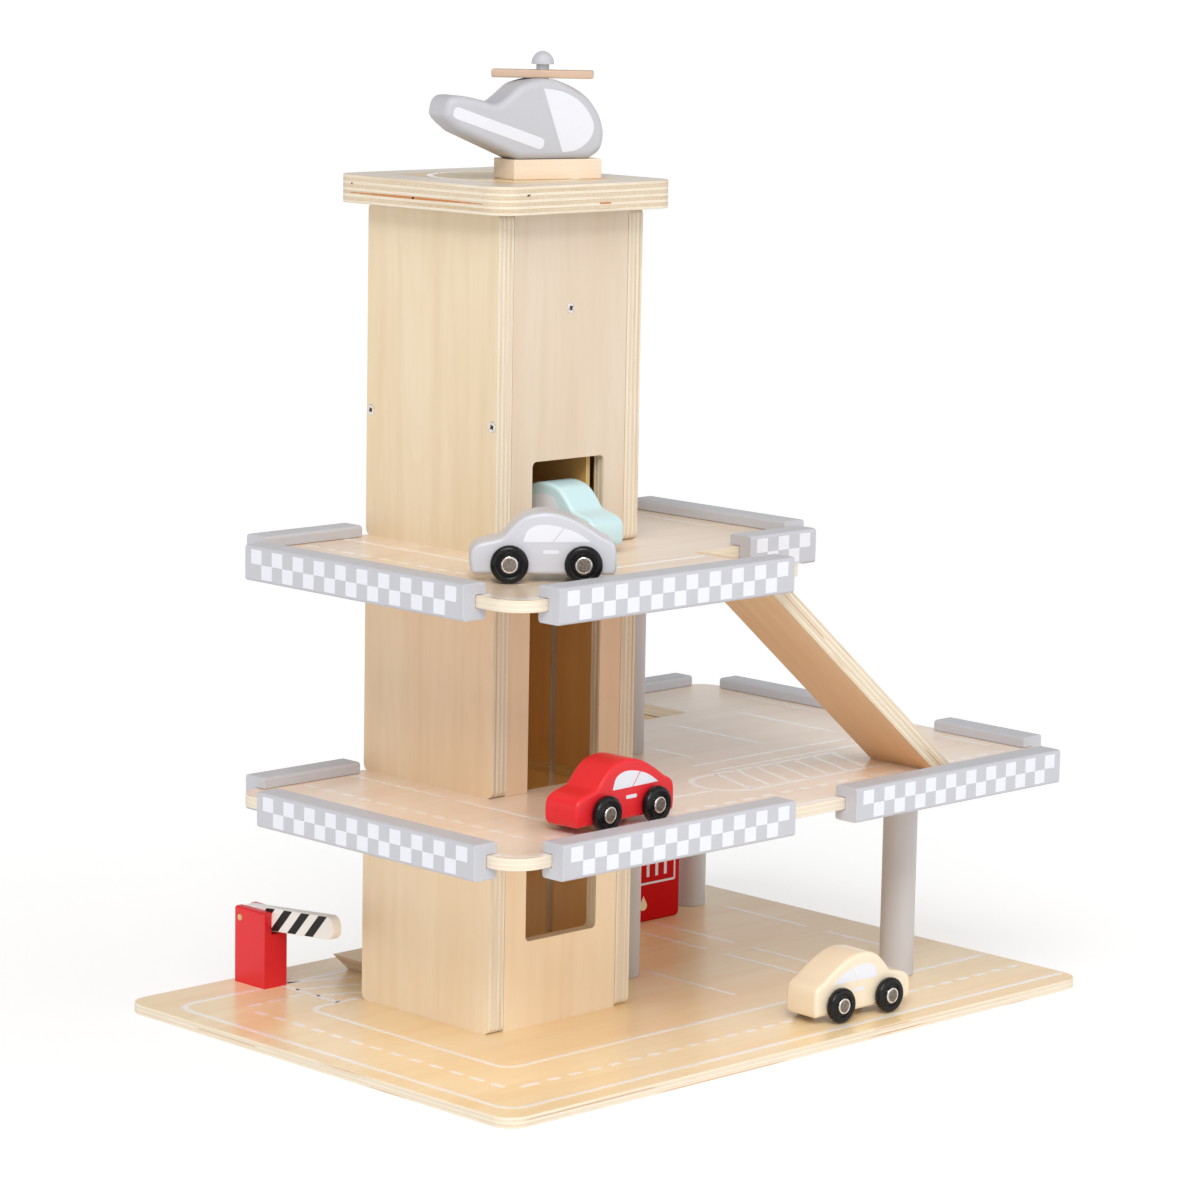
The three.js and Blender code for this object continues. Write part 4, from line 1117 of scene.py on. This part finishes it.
def windowParts():
    line = curveThrough(carWindow)
    foot, gap, sill = carDivider["foot"], carDivider["gap"], carDivider["sill"]
    crest = foot + carDivider["lean"]
    front = [p for p in line if p.x < crest - 0.5] + [Vector((crest, carDivider["frontTop"])), Vector((foot, sill))]
    rear = [Vector((foot + gap, sill)), Vector((crest + gap, carDivider["rearTop"]))]
    return front, rear + [p for p in line if p.x > crest + gap + 0.5]


def addWheels(name, where, place):
    axle = place @ Matrix.Translation((where, 0, car["wheel"])) @ Matrix.Rotation(-math.pi / 2, 4, "X")
    body = name.replace("_wheels", "_axle")
    inner, outer = car["tyreIn"], car["tyreOut"]
    tyre = [
        (1.6, inner), (5.6, inner), (5.9, inner + 0.3), (8.6, inner + 0.05), (9.3, inner + 0.5), (9.85, inner + 1.3),
        (10, inner + 2.0), (10, outer - 2.0), (9.85, outer - 1.2), (9.3, outer - 0.45), (8.6, outer - 0.1),
        (8.0, outer), (7.5, outer), (7.15, outer - 0.35), (6.7, outer - 0.45), (6.3, outer - 0.1),
        (6.0, outer - 0.1), (5.6, outer - 0.9), (4.9, outer - 1.1), (1.6, outer - 1.1), (1.6, inner),
    ]
    addPiece(name + "_tyres", body, joined(bothEnds(turned(tyre))), "tyreBlack", axle, [name])
    hub = [(0, outer - 2.0), (4.4, outer - 2.0), (4.65, outer - 1.0), (4.6, outer - 0.1), (4.35, outer + 0.25),
           (3.95, outer + 0.4), (3.6, outer + 0.3), (3.5, outer + 0.05), (0, outer + 0.05)]
    disc = [(0, outer - 0.4), (3.55, outer - 0.4), (3.55, outer + 0.16), (3.3, outer + 0.2), (0, outer + 0.2)]
    pin = [(0, -inner - 3.4), (1.6, -inner - 3.4), (1.6, inner + 3.4), (0, inner + 3.4)]
    metal = [turned(pin, 20)] + bothEnds(turned(hub, 40))
    addPiece(name + "_hubs", body, joined(metal), "hubMetal", axle)
    addPiece(name + "_discs", body, joined(bothEnds(turned(disc, 40))), "hubFace", axle)


def addCars():
    outline = curveThrough([(car["nose"] + a * car["length"], car["floor"] + u * car["height"]) for a, u in carShape])
    half = car["width"] / 2
    trim = inlays([*windowParts(), fillet(box2(*carHandle), 4)], half)
    for name, (paint, slot, spot, heading) in cars.items():
        place = at(*spot, heading + 180)
        form = plate(outline, (), car["width"], car["edge"], 6, -half)
        addPiece(name + "_shell", name, form, paint, place @ frontFacing, [name + "_body"])
        addPrint(name + "_windows", name, trim, "whitePrint", place @ frontFacing)
        for end, where in (("front", -car["base"] / 2), ("rear", car["base"] / 2)):
            addWheels(f"{name}_{end}_wheels", where, place)


addCars()
print("cars made")


# Helicopter

fuselageShape = [
    (0.906, 0), (0.97, 0.088), (0.994, 0.198), (1, 0.339), (0.979, 0.514), (0.938, 0.664), (0.881, 0.795),
    (0.808, 0.894), (0.727, 0.968), (0.672, 1), (0.585, 1), (0.484, 0.942), (0.437, 0.871), (0.39, 0.786),
    (0.343, 0.717), (0.298, 0.7), (0.226, 0.749), (0.086, 0.802), (0.023, 0.76), (0, 0.622), (0.01, 0.512),
    (0.099, 0.343),
]
copter = {"spot": (167, 160, 473.1), "heading": -15, "length": 97.9, "height": 43.4, "width": 24, "nose": 30.7,
          "edge": 4.2, "heel": 0.457, "foot": 11, "footSides": (-25.65, -12, 28.85, 12), "pegShift": -2.5,
          "peg": 3.5, "knob": 6.2, "blade": (55.4, 12, 4.4), "bladeTurn": -32,
          "boom": ((-63, 26.4), (-7.6, 7.9), 6.3)}
windshield = [(-8.1, 38.5), (4.1, 3.8), (11.1, 4.6), (16.5, 6.9), (21.5, 11.3), (23.4, 17.1), (22.1, 21.9),
              (18.5, 27.3), (12.9, 32.4), (5.8, 35.9), (-0.4, 37.5)]


def addHelicopter():
    place = at(*copter["spot"], copter["heading"])
    tail, half = copter["nose"] - copter["length"], copter["width"] / 2
    points = [(tail + a * copter["length"], u * copter["height"]) for a, u in fuselageShape]
    outline = curveThrough(points) + [Vector((tail + copter["heel"] * copter["length"], 0))]
    over = place @ Matrix.Translation((0, 0, copter["foot"]))
    form = plate(outline, (), copter["width"], copter["edge"], 6, -half)
    addPiece("helicopter_shell", "helicopter", form, "greyPaint", over @ frontFacing,
             ["helicopter_fuselage"])
    glass = [Vector(windshield[0])] + curveThrough(windshield[1:] + windshield[:1])[:-1]
    first, last, wide = copter["boom"]
    first, last = Vector(first), Vector(last)
    across = (last - first).normalized().orthogonal() * wide / 2
    bar = [first + across, first - across, last - across, last + across]
    boomLine = fillet([(p.x, p.y, wide * 0.42) for p in bar], 5)
    addPrint("helicopter_windows", "helicopter", inlays((glass, boomLine), half), "whitePrint", over @ frontFacing)
    form = plate(fillet(box2(*copter["footSides"], 0.6), 3), (), copter["foot"], 0.5)
    addPiece("helicopter_foot_block", "helicopter", form, "plainBeech", place, ["helicopter_foot"])
    crown = place @ Matrix.Translation((copter["pegShift"], 0, copter["foot"] + copter["height"] + 0.3))
    stem, knob = copter["peg"], copter["knob"]
    dome = [(knob * math.cos(a), 7.6 + 7 * math.sin(a)) for a in [math.pi / 2 * k / 10 for k in range(10)]]
    peg = [(0, -8.4), (stem, -8.4), (stem, 7.3), (stem + 0.2, 7.5), (knob - 0.4, 7.5)] + dome + [(0, 14.6)]
    addPiece("rotor_peg_turned", "helicopter", turned(peg, 40), "greyPaint", crown, ["rotor_peg"])
    length, width, thick = copter["blade"]
    outline = fillet(box2(-length / 2, -width / 2, length / 2, width / 2, 1.2), 4)
    form = plate(outline, [roundHole(stem + 0.3, 6)], thick, 0.8)
    turn = Matrix.Rotation(math.radians(copter["bladeTurn"]), 4, "Z")
    addPiece("rotor_blade_board", "rotor", form, "bladeBeech", crown @ turn, ["rotor_blade"])


addHelicopter()
print("helicopter made")


# Screws

screws = {
    "left_wall_screw_front": ((104.5, 132.5, 342.8), "side"),
    "left_wall_screw_back": ((104.5, 231.5, 342.8), "side"),
    "front_wall_screw": ((158.5, 129, 404.7), "front"),
}
screwHead = [(0, -1.2), (2.6, -1.2), (3.1, -0.1), (3.1, 0.15), (2.8, 0.35), (1.3, 0.38), (1.1, 0.05), (0, 0.0)]


def addScrews():
    turns = {"side": Matrix.Rotation(-math.pi / 2, 4, "Y"), "front": Matrix.Rotation(math.pi / 2, 4, "X")}
    # painted shade: each screw head's cross recess is a dark printed cross
    cross = joined([strip([(-1.6, 0), (1.6, 0)], 0.6), strip([(0, -1.6), (0, 1.6)], 0.6)])
    for name, (spot, side) in screws.items():
        place = Matrix.Translation(spot) @ turns[side]
        addPiece(name, "garage", turned(screwHead, 24), "hubMetal", place)
        addPrint(name + "_recess_shade", "garage", cross, "knotStainAndRecessShade", place @ at(0, 0, 0.3, 35))


addScrews()
print("screws made")


# Floor

floor = {"reach": 60, "glow": 0.56, "color": (0.56, 0.56, 0.56, 1)}


def addFloor():
    data = bpy.data.meshes.new("floor")
    reach = floor["reach"]
    corners = [(-reach, -reach, 0), (reach, -reach, 0), (reach, reach, 0), (-reach, reach, 0)]
    data.from_pydata(corners, [], [(0, 1, 2, 3)])
    sheet = bpy.data.objects.new("floor", data)
    scene.collection.objects.link(sheet)
    material, _, shader = emptyMaterial("floorWhite", floor["color"])
    shader.inputs["Base Color"].default_value = floor["color"]
    shader.inputs["Roughness"].default_value = 0.95
    shader.inputs["Specular IOR Level"].default_value = 0.1
    shader.inputs["Emission Color"].default_value = (1, 1, 1, 1)
    shader.inputs["Emission Strength"].default_value = floor["glow"]
    data.materials.append(material)
    lit = bpy.data.collections["poolLit"]  # the pool lights the toy only, so the floor stays one even white
    lit.objects.link(sheet)
    lit.collection_objects[0].light_linking.link_state = "EXCLUDE"


addFloor()
print("floor laid")
